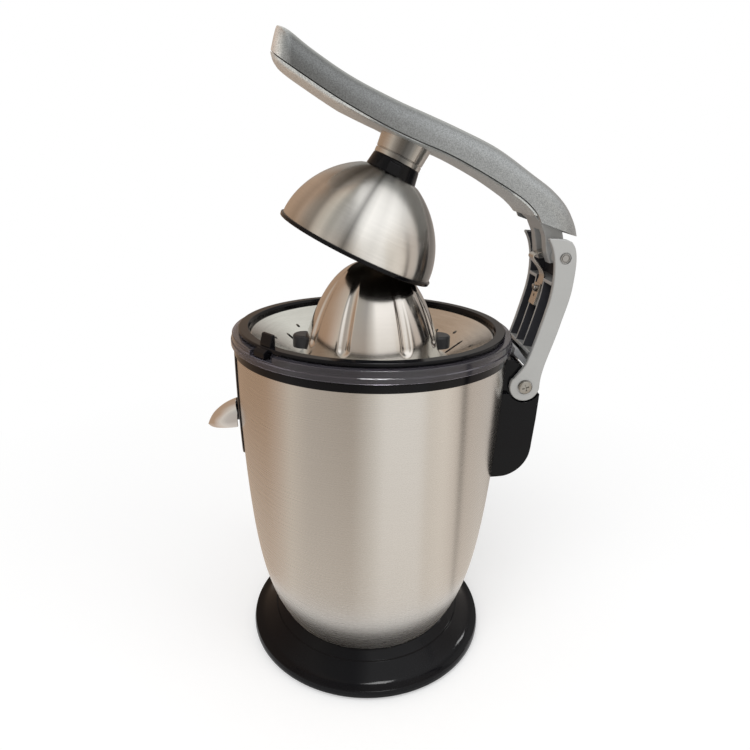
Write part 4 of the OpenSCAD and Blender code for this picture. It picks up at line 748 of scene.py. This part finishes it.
# Spout
def spout_plate_shape(rows=60, columns=28, corner=9.0):
    """A plate that follows the body, with round lower corners."""
    sections = []
    for i in range(rows + 1):
        z = PLATE_Z + (BODY_TOP_Z - 0.4 - PLATE_Z) * (i / rows)**1.6
        rise = min(corner, z - PLATE_Z)
        half = PLATE_W / 2 - corner + sqrt(corner**2 - (corner - rise)**2)
        front, back = [], []
        for k in range(columns + 1):
            x = half * (2 * k / columns - 1)
            edge = min(1.0, (half - abs(x)) / 0.6, rise / 0.6 + 0.15)
            r = body_r(z) + PLATE_T * (1 - 0.45 * (1 - edge)**2)
            front.append((x, -sqrt(r * r - x * x), z))
            back.append((x, -sqrt((body_r(z) + 0.05)**2 - x * x), z))
        sections.append(front + back[::-1])
    return loft(sections, ring=False)


plate = object_of("spout_backing", joined(
    spout_plate_shape(),
    prism(rounded([
        (-PLATE_FACE + 0.6, HINGE_Z - 1.5), (HINGE_Y, HINGE_Z - 1.5)]
        + arc(HINGE_Y, HINGE_Z, 1.5, 270, 90, 14) + [(-PLATE_FACE + 0.6, HINGE_Z + 1.2)]),
        -1.7, 1.7, 0.2)), sharp=50)
cut(plate, drum(DUCT_R, 40), matrix=at_duct, sharp=50)
finish_piece(plate, "spout_plate")


def hood_side(cut_in, n=40):
    """The hood's curve from its foot to its nose, cut_in inside its outer face."""
    r, length = HOOD_R, HOOD_LEN
    side = spline([(r + 0.1, -4), (r, 0), (0.93 * r, 0.25 * length), (0.8 * r, 0.47 * length),
                   (0.58 * r, 0.7 * length), (0.3 * r, 0.87 * length), (0, length)], 8)
    line = [(max(x - cut_in, 0.0), y - (cut_in if x < cut_in else 0)) for x, y in side]
    return evenly(line, n)


at_hood = at((0, -PLATE_FACE - 0.1, DUCT_Z - 0.8), 90 + HOOD_SLOPE)
EAR_IN, EAR_OUT = 2.0, 3.4
kept_side = prism(shifted(HINGE_Y + 3.7, DUCT_Z, (0, -4.4), (0, 4.8), (-2.6, 11.8), (-30, 11.8),
                          (-30, -10), (-21, -8.2)), -20, 20)
spout = object_of("spout", moved(lathe(hood_side(0) + hood_side(HOOD_WALL)[::-1], 160), at_hood),
                  sharp=40)
cut(spout, kept_side, "INTERSECT", 40)
ears = object_of("spout_ears", joined(*mirrored(
    prism, rounded(shifted(HINGE_Y, HINGE_Z, (-2, -1.8, 0.8), (-2, 7), (2, 7), (2, -1.8, 0.8))),
    EAR_IN, EAR_OUT, 0.15)))
merge(spout, cut(ears, moved(lathe(hood_side(0.2) + [(0, -4)], 96), at_hood), "INTERSECT"), 40)
finish_piece(spout, "spout_beak", weighted=False)

# Arm
arm_back = spline([(98, PIVOT_Z - 1), (98.2, 185), (99.6, 193), (102, 202.2), (104.4, 211.2),
                   (106.4, 220), (108.5, 229), (109.8, 237.2), (110.3, 248.3), (109.9, 255),
                   (108.6, 260), (106.4, 263.2)], 5)
arm_front = spline([(82.4, 184.4), (85.2, 188.4), (88.2, 193), (90.1, 199.1), (92.6, 208.1),
                    (94.4, 215.5), (96.5, 224.5), (98, 232.4), (98.7, 240.8), (98.2, 250.6),
                    (96.2, 258.8), (93.4, 264.2)], 5)
WEB_TOP_Z = PIN_Z + 6.5
cheek_outline = (arc(PIVOT_Y, PIVOT_Z, EYE_R, 150, 357, 48) + arm_back[1:]
                 + [(103.4, 264.4), (99, 264.8), (93.9, 265.0)] + arm_front[::-1])
RIBS_LOW, RIBS_HIGH, RIB_X = 198.0, 239.5, 7.0


def between(line, low, high):
    """The points of a line of (y, z) between two heights."""
    return [p for p in line if low < p[1] < high]


web_line = between(arm_back, PIVOT_Z + 8.4, WEB_TOP_Z)
web_outline = web_line + [(y - WEB_T, z) for y, z in reversed(web_line)]
rib_outline = between(arm_front, RIBS_LOW, RIBS_HIGH) + [
    (y - WEB_T + 0.1, z) for y, z in reversed(between(arm_back, RIBS_LOW, RIBS_HIGH))]
spring_line = spline([(95.9, 224), (97.4, 230), (98.7, 236.4), (99.5, 240.2), (98.6, 243.7),
                      (95.8, 247.3), (92.6, 250.6), (91.8, 252.6), (93.6, 254.3),
                      (96.8, 255.5), (PIN_Y - LUG_R - GAP, 256.2)], 6)
SPRING_T = 0.8


def beside(line, d):
    """A line moved sideways by d."""
    out = []
    for i, (y, z) in enumerate(line):
        before, after = line[max(i - 1, 0)], line[min(i + 1, len(line) - 1)]
        v = Vector((after[0] - before[0], after[1] - before[1])).normalized()
        out.append((y + d * v.y, z - d * v.x))
    return out


BAR_Z, SEAT_HALF, RECESS_X = 240.4, 6.1, LEVER_W / 2 - 0.7
pad_foot = between(spring_line, 0, 238)
arm = object_of("arm", joined(
    prism(web_outline, -CHEEK_IN - 0.2, CHEEK_IN + 0.2),
    *mirrored(prism, rib_outline, RIB_X - RIB_T / 2, RIB_X + RIB_T / 2, 0.35),
    prism(rounded([(101.2, BAR_Z - 2), (108.4, BAR_Z - 2), (108.4, BAR_Z), (101.2, BAR_Z, 0.5)]),
          -CHEEK_IN, CHEEK_IN),
    *mirrored(prism, rounded([(98.7, BAR_Z - 1.8, 0.5), (101.4, BAR_Z - 2), (101.4, BAR_Z),
                              (98.8, BAR_Z + 0.2, 0.5)]), 6, CHEEK_IN),
    prism(rounded([(89.9, 198.2, 0.6), (100.4, 196.2), (100.8, 198.4), (90.5, 200.2, 0.6)]),
          -CHEEK_IN, CHEEK_IN),
    prism(beside(pad_foot, SPRING_T) + [(108, 238), (104.6, 223.4)], -SEAT_HALF, SEAT_HALF),
    *mirrored(rod, PIN_R + 2.2, LUG_OUT + GAP, CHEEK_IN, PIN_Y, PIN_Z)))
sides = object_of("arm_sides", joined(
    *mirrored(prism, cheek_outline, CHEEK_IN, LEVER_W / 2, 0.9, 4)))
cut(sides, joined(*mirrored(rod, 4.5, RECESS_X, 30, PIVOT_Y, PIVOT_Z),
                  *mirrored(rod, 3.3, RECESS_X, 30, PIN_Y, PIN_Z)))
merge(arm, sides)
finish_piece(arm, "arm_frame")
# The inside of the arm's channel is painted dark: painted shade of the deep channel, together with
# the inside's own darker unpainted metal
arm.data.materials.append(grained("arm_channel_painted_shade", (0.055, 0.056, 0.065), 0.45, metal=0.3,
                                  grain=1600, bump=0.15))
for face in arm.data.polygons:
    centre, normal = face.center / MM, face.normal
    x = abs(centre.x)
    on_cheek = abs(normal.x) > 0.5 and x < CHEEK_IN + 0.1 and centre.z < 256
    on_web = (normal.y < -0.3 and SEAT_HALF + 0.1 < x < CHEEK_IN and centre.y > 99.5
              and centre.z < 238 and abs(x - RIB_X) > RIB_T / 2 + 0.02)
    behind_spring = normal.y < -0.5 and centre.y > 103 and centre.z < 262
    if on_cheek or on_web or behind_spring:
        face.material_index = 1


def cross_cut(thing, r, depth, width, azimuth, matrix):
    """Cuts a cross-shaped recess into the top of a screw, at the plane z = 0 of matrix."""
    for a in (azimuth, azimuth + 90):
        bar = block((-r, -width / 2, -depth), (r, width / 2, 2), 0.05)
        cut(thing, moved(bar, turned(a)), matrix=matrix)


def screw_head(r, h, shank_r, shank_l):
    """A pan head with its shank below z = 0."""
    rise = 0.45 * h
    top = [(x, h - rise + y * rise / r) for x, y in arc(0, 0, r, 0, 90, 10)]
    return lathe(rounded([(0, -shank_l), (shank_r, -shank_l, 0.2), (shank_r, 0), (r - 0.2, 0),
                          (r, 0.2), *top]), 72)


screws = []
for s, name in ((-1, "pivot_screw_pair"), (1, "screw")):
    lay = at((s * (LEVER_W / 2 + 0.2), PIVOT_Y, PIVOT_Z), s * 90, "Y")
    screws.append(object_of(name, screw_head(3.8, 1.6, 1.8, 10), lay))
    cross_cut(screws[-1], 2.1, 1.0, 0.85, 20, lay @ at((0, 0, 1.6)))
merge(*screws, 35)
finish_piece(screws[0], "pivot_screws", material=grained(
    "screw_steel", (0.34, 0.325, 0.30), 0.18, metal=1.0, vary=0.1))

pin_end = LEVER_W / 2 + 0.3
pin_half = [(0, -pin_end), *shifted(PIN_R, -pin_end, (-0.9, 0, 0.2), (-0.75, 0.45, 0.1),
                                    (-0.45, 0.45, 0.1), (-0.3, 0, 0.1), (0, 0, 0.25))]
pin_line = rounded(pin_half + [(r, -x, *radius) for r, x, *radius in reversed(pin_half)])
finish_piece(object_of("lever_pin", moved(lathe(pin_line, 72), at((0, PIN_Y, PIN_Z), 90, "Y"))),
             "upper_pin", material=grained("pin_steel", (0.36, 0.355, 0.35), 0.26, metal=1.0,
                                           vary=0.1))

LEAF_HALF, CLIP_HALF = 4.5, 4.8
finish_piece(object_of("detent_spring", prism(
    spring_line + beside(spring_line, SPRING_T)[::-1], -LEAF_HALF, LEAF_HALF, 0.15, 2)),
    "leaf_spring")
clip_foot = between(spring_line, 0, 236.6)
clip = object_of("clip", prism(clip_foot + beside(clip_foot, -1)[::-1], -CLIP_HALF, CLIP_HALF,
                               0.2, 2))
cut(clip, drum(0.9, 20, 32), matrix=at((0, 90, 229.4), -90))
finish_piece(clip, "spring_clip")
at_clip = at((0, 98.1, 234.2), -78) @ Matrix.Scale(-1, 4, (0, 0, 1)) @ at((0, 0, 1.8))
clip_screw = object_of("clip_bolt", moved(screw_head(2.4, 1.4, 1.4, 6.6), at_clip))
cross_cut(clip_screw, 1.45, 0.8, 0.6, 45, at_clip @ at((0, 0, 1.4)))
finish_piece(clip_screw, "clip_screw")

# Handle: each row is a point of the seam and the point of the crown above it
handle_line = [
    (-53.6, 352.5, -50.5, 364.5), (-49.5, 348.8, -44.8, 362), (-38.7, 342, -32.8, 353.6),
    (-19.4, 330.7, -13.4, 342.2), (3, 319.5, 9.1, 332.2), (21, 312.1, 27.2, 325.4),
    (37, 306.2, 43.6, 319), (56, 297.2, 63.8, 310.2), (74.9, 286.8, 84, 297.6),
    (82.6, 281, 95.8, 289.8), (86.4, 276.8, 104.6, 281.4), (88, 273.8, 110.4, 272),
    (88.6, 272.9, 112.8, 265)]
STEPS = 8
rows = spline(handle_line, STEPS)
away = [0.0]
for p, q in zip(rows, rows[1:]):
    away.append(away[-1] + dist(p[:2], q[:2]))
NOSE_R, SEAM, TIP_HOLLOW = 11.0, 0.5, 0.012


def half_width(i, wall=0.0):
    """Half of the handle's width at a row; its tip has round corners in plan."""
    t = min(1, i / (3 * STEPS))
    full = (TIP_W + (HANDLE_W - TIP_W) * t) / 2 - wall
    near = max(0.0, NOSE_R - away[i] - 0.4)
    return full - NOSE_R + sqrt(NOSE_R**2 - near**2) if near else full


def bow(row, half, h0, h1, sign, n=44):
    """A run across the handle: up one side, over the crown and down the other."""
    dense = []
    for k in range(721):
        a = radians(180 * k / 720)
        c, s = cos(a), sin(a)
        dense.append((half * sign * copysign(abs(c)**0.45, c),
                      h0 + (h1 - h0) * max(s, 0)**0.6))
    depth = dist(row[:2], row[2:])
    flat = evenly([(x, v * depth) for x, v in dense], n)
    up = ((row[2] - row[0]) / depth, (row[3] - row[1]) / depth)
    return [(x, row[0] + up[0] * v, row[1] + up[1] * v) for x, v in flat]


def top_shell():
    """The upper shell, hollow from one row past its tip on."""
    sections = []
    for i, row in enumerate(rows):
        depth = dist(row[:2], row[2:])
        t = min(1, i / STEPS)
        hollow = TIP_HOLLOW + (1 - HANDLE_WALL / depth - TIP_HOLLOW) * t
        narrow = SEAM + (half_width(i, HANDLE_WALL) - SEAM) * t
        sections.append(bow(row, half_width(i), 0, 1, 1) + bow(row, narrow, 0, hollow, 1)[::-1])
    return loft(sections, ring=False)


def thin(row):
    """How much of the lower shell's depth is left at a row; it is thin behind the neck."""
    stops = [(0, 1), (3, 1), (3.9, 0.52), (6.3, 0.42), (7.2, 0.42), (8, 0.65), (12, 0.8)]
    for (a, low), (b, high) in zip(stops, stops[1:]):
        if row <= b:
            return low + (high - low) * (row - a) / (b - a)
    return stops[-1][1]


def belly_shell():
    """The lower shell, which ends before the lugs."""
    sections = []
    for i, row in enumerate(rows[:len(rows) - 2 * STEPS]):
        depth = dist(row[:2], row[2:])
        drop = BELLY_H / depth * min(1, 0.45 + 0.55 * i / (0.6 * STEPS)) * thin(i / STEPS)
        slot = SEAM / depth
        deep = max(drop - HANDLE_WALL / depth, 2 * slot)
        sections.append(bow(row, half_width(i, SEAM), -slot, -drop, -1)
                        + bow(row, half_width(i, HANDLE_WALL), -slot, -deep, -1)[::-1])
    return loft(sections, ring=False)


top = object_of("handle_upper", top_shell(), sharp=40)
edge = top.modifiers.new("edge", "BEVEL")
edge.width, edge.segments, edge.limit_method = 0.35 * MM, 3, "ANGLE"
edge.angle_limit = radians(50)
# The handle top's stops paint a highlight at the tip and shade behind it, lighter towards the back
finish_piece(top, "handle_top", material=sparkling(
    "silver_crown_painted_light", (0.455, 0.475, 0.485), 0.34, coat=0.5,
    painted_light=[(-60, 2.1), (-50, 1.9), (-46.5, 0.85), (-42.5, 0.3), (-17, 0.34), (11, 0.45),
           (37, 0.59), (64, 0.64), (94, 0.7), (120, 0.7)]))
raised = (at((0, PIN_Y, PIN_Z), -HANDLE_RAISE) @ at((0, -PIN_Y, -PIN_Z))
          @ at((0, 0, DOME_PRESSED_Z)))
NECK_FOOT = DOME_H + COLLAR_H
belly = object_of("handle_lower", belly_shell(), sharp=40)
neck_hole = lathe([(0, 3.2), (NECK_R + 0.1, 3.2), (NECK_TOP_R + 0.1, NECK_H),
                   (NECK_TOP_R + 0.1, NECK_H + 30), (0, NECK_H + 30)], 96)
cut(belly, moved(neck_hole, raised @ at((0, 0, NECK_FOOT))), sharp=40)
finish_piece(belly, "handle_belly", material=sparkling(
    "silver_belly", (0.70, 0.76, 0.82), 0.42))

lug_front = [(-21.6, 26.2), (-18.3, 22.5), (-15.4, 20.2), (-13, 18.4)]
lug_top = [(-1.6, 20), (-5, 24.6), (-10.3, 33.8), (-19, 29.5)]
lug_outline = shifted(PIN_Y, PIN_Z, *lug_front, (-9, 10.4), (-7.4, 2), (-4.8, -4.4),
                      *arc(0, 0, LUG_R, 255, 360, 16), (LUG_R - 1.2, 4), (1.4, 10), *lug_top)
bridge_outline = shifted(PIN_Y, PIN_Z, *lug_front, (-10.6, 13.6), (0.8, 12.6), *lug_top)
inner_half = LUG_IN + 0.5
finish_piece(object_of("handle_lugs", joined(
    *mirrored(prism, lug_outline, LUG_IN, LUG_OUT, 0.5),
    prism(bridge_outline, -inner_half, inner_half),
    rod(LUG_R, -inner_half, inner_half, PIN_Y, PIN_Z))), "handle_tail")

# Neck and press dome, drawn in the dome's own frame
neck = object_of("neck", lathe(rounded([
    (3, -COLLAR_H + 1), (8, -COLLAR_H + 1, 0.4), (8, 0),
    *shifted(NECK_R, 0, (0, 0, 0.35), (0, 2.6, 0.35), (-0.5, 2.75, 0.1), (-0.5, 3.1, 0.1),
             (0, 3.2, 0.3)), (NECK_TOP_R, NECK_H), (3, NECK_H)]), 160),
    raised @ at((0, 0, NECK_FOOT)))
# The neck's azimuth stops paint a dark reflection streak across its front
finish_piece(neck, "neck_tube", material=brushed(
    "spun_neck_painted_reflection", (0.6, 0.58, 0.55), 0.22, lines=3000, vary=0.06, bump=0.05, aniso=0.8,
    painted_streaks=[(-180, 1.0), (-50, 1.0), (-30, 0.9), (-14, 0.4), (0, 0.16), (12, 0.24), (28, 0.7),
          (48, 1.0), (180, 1.0)]))

tab_outline = rounded(shifted(NECK_R, 0, (-1.5, 0.3), (3.8, -0.2, 0.6), (3.3, 5.8, 0.9),
                              (-1.5, 6.4, 0.4)))
collar = object_of("collar", joined(
    lathe(rounded([(3, 0.6), (8.05, 0.6), (8.05, COLLAR_H - 0.1), (NECK_R, COLLAR_H - 0.1, 0.4),
                   (COLLAR_R, 0.0, 0.3), (3, 0.0)]), 160),
    moved(prism(tab_outline, -3.5, 3.5, 0.4), turned(COLLAR_TAB_AZIMUTH - 90))),
    raised @ at((0, 0, DOME_H - 0.1)))
finish_piece(collar, "dome_collar")


def dome_side(inset, n=80):
    """The dome's curve, which bends in at the shoulder and ends at a flat crown."""
    r, rise, bend = DOME_R - inset, DOME_PEAK - inset - DOME_RIM_H, 2 / DOME_BEND
    side = [(r * max(cos(a), 0)**bend, DOME_RIM_H + rise * sin(a)**bend)
            for a in [radians(90 * i / n) for i in range(n + 1)]]
    return ([(r, DOME_RIM_H - 0.4)] + [p for p in side if p[1] < DOME_H - inset - 0.4]
            + [(COLLAR_R + 0.4, DOME_H - inset - 0.1), (3, DOME_H - inset - 0.1)])


dome = object_of("dome", lathe(dome_side(0) + dome_side(DOME_WALL)[::-1], 240), raised)
# The dome's azimuth stops paint its light and dark reflection streaks; its crown stops paint
# darker reflection near the top
finish_piece(dome, "dome_shell", weighted=False, material=brushed(
    "spun_dome_painted_reflections", (0.66, 0.65, 0.63), 0.22, lines=2200, vary=0.10, bump=0.06, aniso=0.9,
    painted_streaks=[(-180, 1.0), (-80, 0.95), (-68, 1.05), (-58, 0.85), (-52, 0.95), (-45, 0.6), (-40, 0.46),
          (-36, 0.85), (-31, 1.1), (-26, 0.9), (-22, 1.08), (-17, 0.9), (-12.5, 0.4), (-9, 0.85),
          (-4, 1.1), (4, 1.0), (10, 1.12), (20, 1.0), (30, 1.08), (42, 1.0), (50, 0.75),
          (58, 0.36), (66, 0.55), (73, 0.95), (79, 1.1), (90, 0.8), (180, 1.0)],
    crown=(26, 44, [(-180, 0.5), (-60, 0.22), (-36, 0.3), (-22, 0.6), (-10, 1.0), (14, 1.05),
                    (50, 0.8), (180, 0.5)])))
# The dome's inner faces are painted near black: painted shade under the dome
dome.data.materials.append(grained("dome_inside_painted_shade", (0.05, 0.048, 0.045), 0.35, metal=1.0,
                                   grain=1400, bump=0.1))
for face in dome.data.polygons:
    if face.normal.dot(face.center) < 0:
        face.material_index = 1
IN_R, EDGE_R = DOME_R - DOME_WALL - 0.6, DOME_R + DOME_RIM_OUT
finish_piece(object_of("dome_edge", lathe(rounded([
    (IN_R, 0.2, 0.4), (EDGE_R - 0.2, 0, 0.4), (EDGE_R, DOME_RIM_H - 0.3, 0.3),
    (EDGE_R - 0.45, DOME_RIM_H, 0.2), (EDGE_R - 0.8, DOME_RIM_H - 0.4, 0.2),
    (IN_R, DOME_RIM_H - 0.4, 0.2)]), 240), raised), "dome_rim")

# Floor and light
floor_mesh = bpy.data.meshes.new("floor")
bm = bmesh.new()
bmesh.ops.create_circle(bm, cap_ends=True, segments=96, radius=12)
bm.to_mesh(floor_mesh)
bm.free()
floor = placed("floor", floor_mesh)
SHOWN = ["Is Camera Ray", "Is Glossy Ray", "Is Transmission Ray"]


def shown_rays(tree):
    """1 for the rays that show a thing, otherwise 0."""
    path = add(tree, "LightPath", {})
    total = path.outputs[SHOWN[0]]
    for kind in SHOWN[1:]:
        total = calc(tree, "MAXIMUM", total, path.outputs[kind])
    return total


# Paper, which fades to plain white away from the machine
paper, tree = new_material("paper")
place, shown, bsdf = here(tree), shown_rays(tree), tree.nodes["Principled BSDF"]
feed(tree, bsdf, {"Base Color": (0.8, 0.8, 0.8, 1), "Specular IOR Level": 0.1,
                  "Roughness": spread(tree, noise(tree, place, 400.0, 2.0), 0.85, 0.95)})
glow = add(tree, "Emission", {"Strength": calc(tree, "MULTIPLY", shown, 0.3)})
lit = add(tree, "AddShader", {0: bsdf.outputs[0], 1: glow.outputs[0]})
white = add(tree, "Emission", {})
fade = spread(tree, length_of(tree, place), 0.0, 1.0, 0.12, 0.5)
choice = add(tree, "MixShader", {0: calc(tree, "MULTIPLY", fade, shown), 1: lit.outputs[0],
                                 2: white.outputs[0]})
feed(tree, tree.nodes["Material Output"], {"Surface": choice.outputs[0]})
floor_mesh.materials.append(paper)

world = bpy.data.worlds.new("studio")
scene.world = world
world.use_nodes = True
tree = world.node_tree
feed(tree, tree.nodes["Background"], {
    "Color": (1, 1, 1, 1), "Strength": spread(tree, shown_rays(tree), 0.62, 1.0)})


def lamp(name, place, target, size, power, pieces=()):
    """A soft lamp that faces a point, in metres; it may light some pieces only."""
    data = bpy.data.lights.new(name, "AREA")
    data.shape, data.size, data.size_y, data.energy = "RECTANGLE", size[0], size[1], power
    thing = placed(name, data)
    thing.location = place
    thing.rotation_mode = "QUATERNION"
    thing.rotation_quaternion = (Vector(target) - Vector(place)).to_track_quat("-Z", "Y")
    thing.visible_glossy = bool(pieces)
    if pieces:
        kept = bpy.data.collections.new(name + "_on")
        for piece in pieces:
            kept.objects.link(piece)
        thing.light_linking.receiver_collection = kept


lamp("key", (0.9, -0.5, 1.3), (0, 0, 0.2), (1.0, 1.0), 9.0)
lamp("fill", (0.6, 1.1, 0.9), (0, 0, 0.2), (0.8, 0.8), 3.0)
lamp("window", (-0.335, 0.835, 0.52), (0, 0.06, 0.01), (0.2, 0.3), 3.0, [base])
lamp("strip", (0.15, 0.1, 1.2), (0, 0, 0.1), (0.22, 0.5), 6.0,
     [base, liner, bowl, splash, bracket, collar])

# A studio wall that only reflections see: (azimuth, colour) low down and high up
WALL_LOW = [
    (-180, (0.3, 0.26, 0.23)), (-160, (0.46, 0.32, 0.22)), (-92, (0.5, 0.34, 0.23)),
    (-78, (0.62, 0.48, 0.38)), (-66, (0.74, 0.66, 0.57)), (-50, (0.58, 0.52, 0.46)),
    (-15, (0.5, 0.44, 0.38)), (0, (0.8, 0.76, 0.7)), (8, (1.0, 0.97, 0.92)),
    (36, (1.0, 0.97, 0.92)), (42, (0.86, 0.8, 0.72)), (56, (0.98, 0.91, 0.82)),
    (66, (0.86, 0.78, 0.7)), (70.5, (0.8, 0.72, 0.64)), (72.5, (0.08, 0.07, 0.06)),
    (75.5, (0.08, 0.07, 0.06)), (77.5, (0.68, 0.6, 0.53)), (110, (0.7, 0.65, 0.6)),
    (125, (0.52, 0.47, 0.43)), (140, (0.4, 0.36, 0.33)), (180, (0.3, 0.26, 0.23))]
WALL_HIGH = [
    (-180, (0.95, 0.95, 0.9)), (-160, (0.5, 0.36, 0.26)), (-115, (0.5, 0.36, 0.26)),
    (-95, (0.62, 0.52, 0.43)), (-66, (0.72, 0.65, 0.56)), (-46, (0.52, 0.5, 0.45)),
    (-17, (0.48, 0.47, 0.45)), (-4, (0.85, 0.84, 0.81)), (6, (1.35, 1.34, 1.31)),
    (60, (1.3, 1.29, 1.27)), (95, (1.1, 1.09, 1.06)), (125, (0.62, 0.6, 0.57)),
    (140, (0.95, 0.95, 0.9)), (180, (0.95, 0.95, 0.9))]
WALL_NEAR = (0.88, 0.8, 0.71)
wall_line = [(0.095, 0.0015), (0.2, 0.0015), (0.5, 0.0015), (0.9, 0.0015), (0.9, 0.3), (0.88, 0.6),
             (0.78, 0.9), (0.6, 1.1), (0.3, 1.25), (0.01, 1.3)]
corners, faces = lathe(wall_line, 72, closed=False)
wall_mesh = bpy.data.meshes.new("surround")
wall_mesh.from_pydata(corners, [], faces)
wall = placed("surround", wall_mesh)
wall.visible_camera = wall.visible_diffuse = wall.visible_shadow = False
wall.visible_transmission = wall.visible_volume_scatter = False
paint, tree = new_material("surround")
tree.nodes.remove(tree.nodes["Principled BSDF"])
place = here(tree)
low_down, high_up = [ramp(tree, azimuth_of(tree, place), stops, -180, 180)
                     for stops in (WALL_LOW, WALL_HIGH)]
far_off = mixed(tree, spread(tree, split(tree, place)[2], 0.0, 1.0, 0.4, 0.85), low_down, high_up)
near = spread(tree, length_of(tree, place), 0.55, 0.0, 0.1, 0.45)
shine = add(tree, "Emission", {"Color": mixed(tree, near, far_off, (*WALL_NEAR, 1))})
feed(tree, tree.nodes["Material Output"], {"Surface": shine.outputs[0]})
wall_mesh.materials.append(paint)

# Camera
YAW, PITCH, ROLL = radians(0.40), radians(19.59), radians(1.35)
DISTANCE, HEIGHT, LENS = 0.3415, 0.2996, 586.75 / 750 * 36
swing = Matrix.Rotation(radians(-3), 3, "Z")
forward = swing @ Vector((-cos(PITCH) * cos(YAW), cos(PITCH) * sin(YAW),
                          -sin(PITCH)))
side = forward.cross(Vector((0, 0, 1))).normalized()
upward = side.cross(forward)
right = side * cos(ROLL) + upward * sin(ROLL)
above = -side * sin(ROLL) + upward * cos(ROLL)
spot = swing @ Vector((DISTANCE, 0, HEIGHT))
camera_data = bpy.data.cameras.new("camera")
camera = placed("camera", camera_data)
camera.matrix_world = (Matrix.Translation(spot)
                       @ Matrix((right, above, -forward)).transposed().to_4x4())
camera_data.sensor_width, camera_data.lens, camera_data.clip_start = 36, LENS, 0.005
scene.camera = camera
scene.view_settings.view_transform = "Standard"
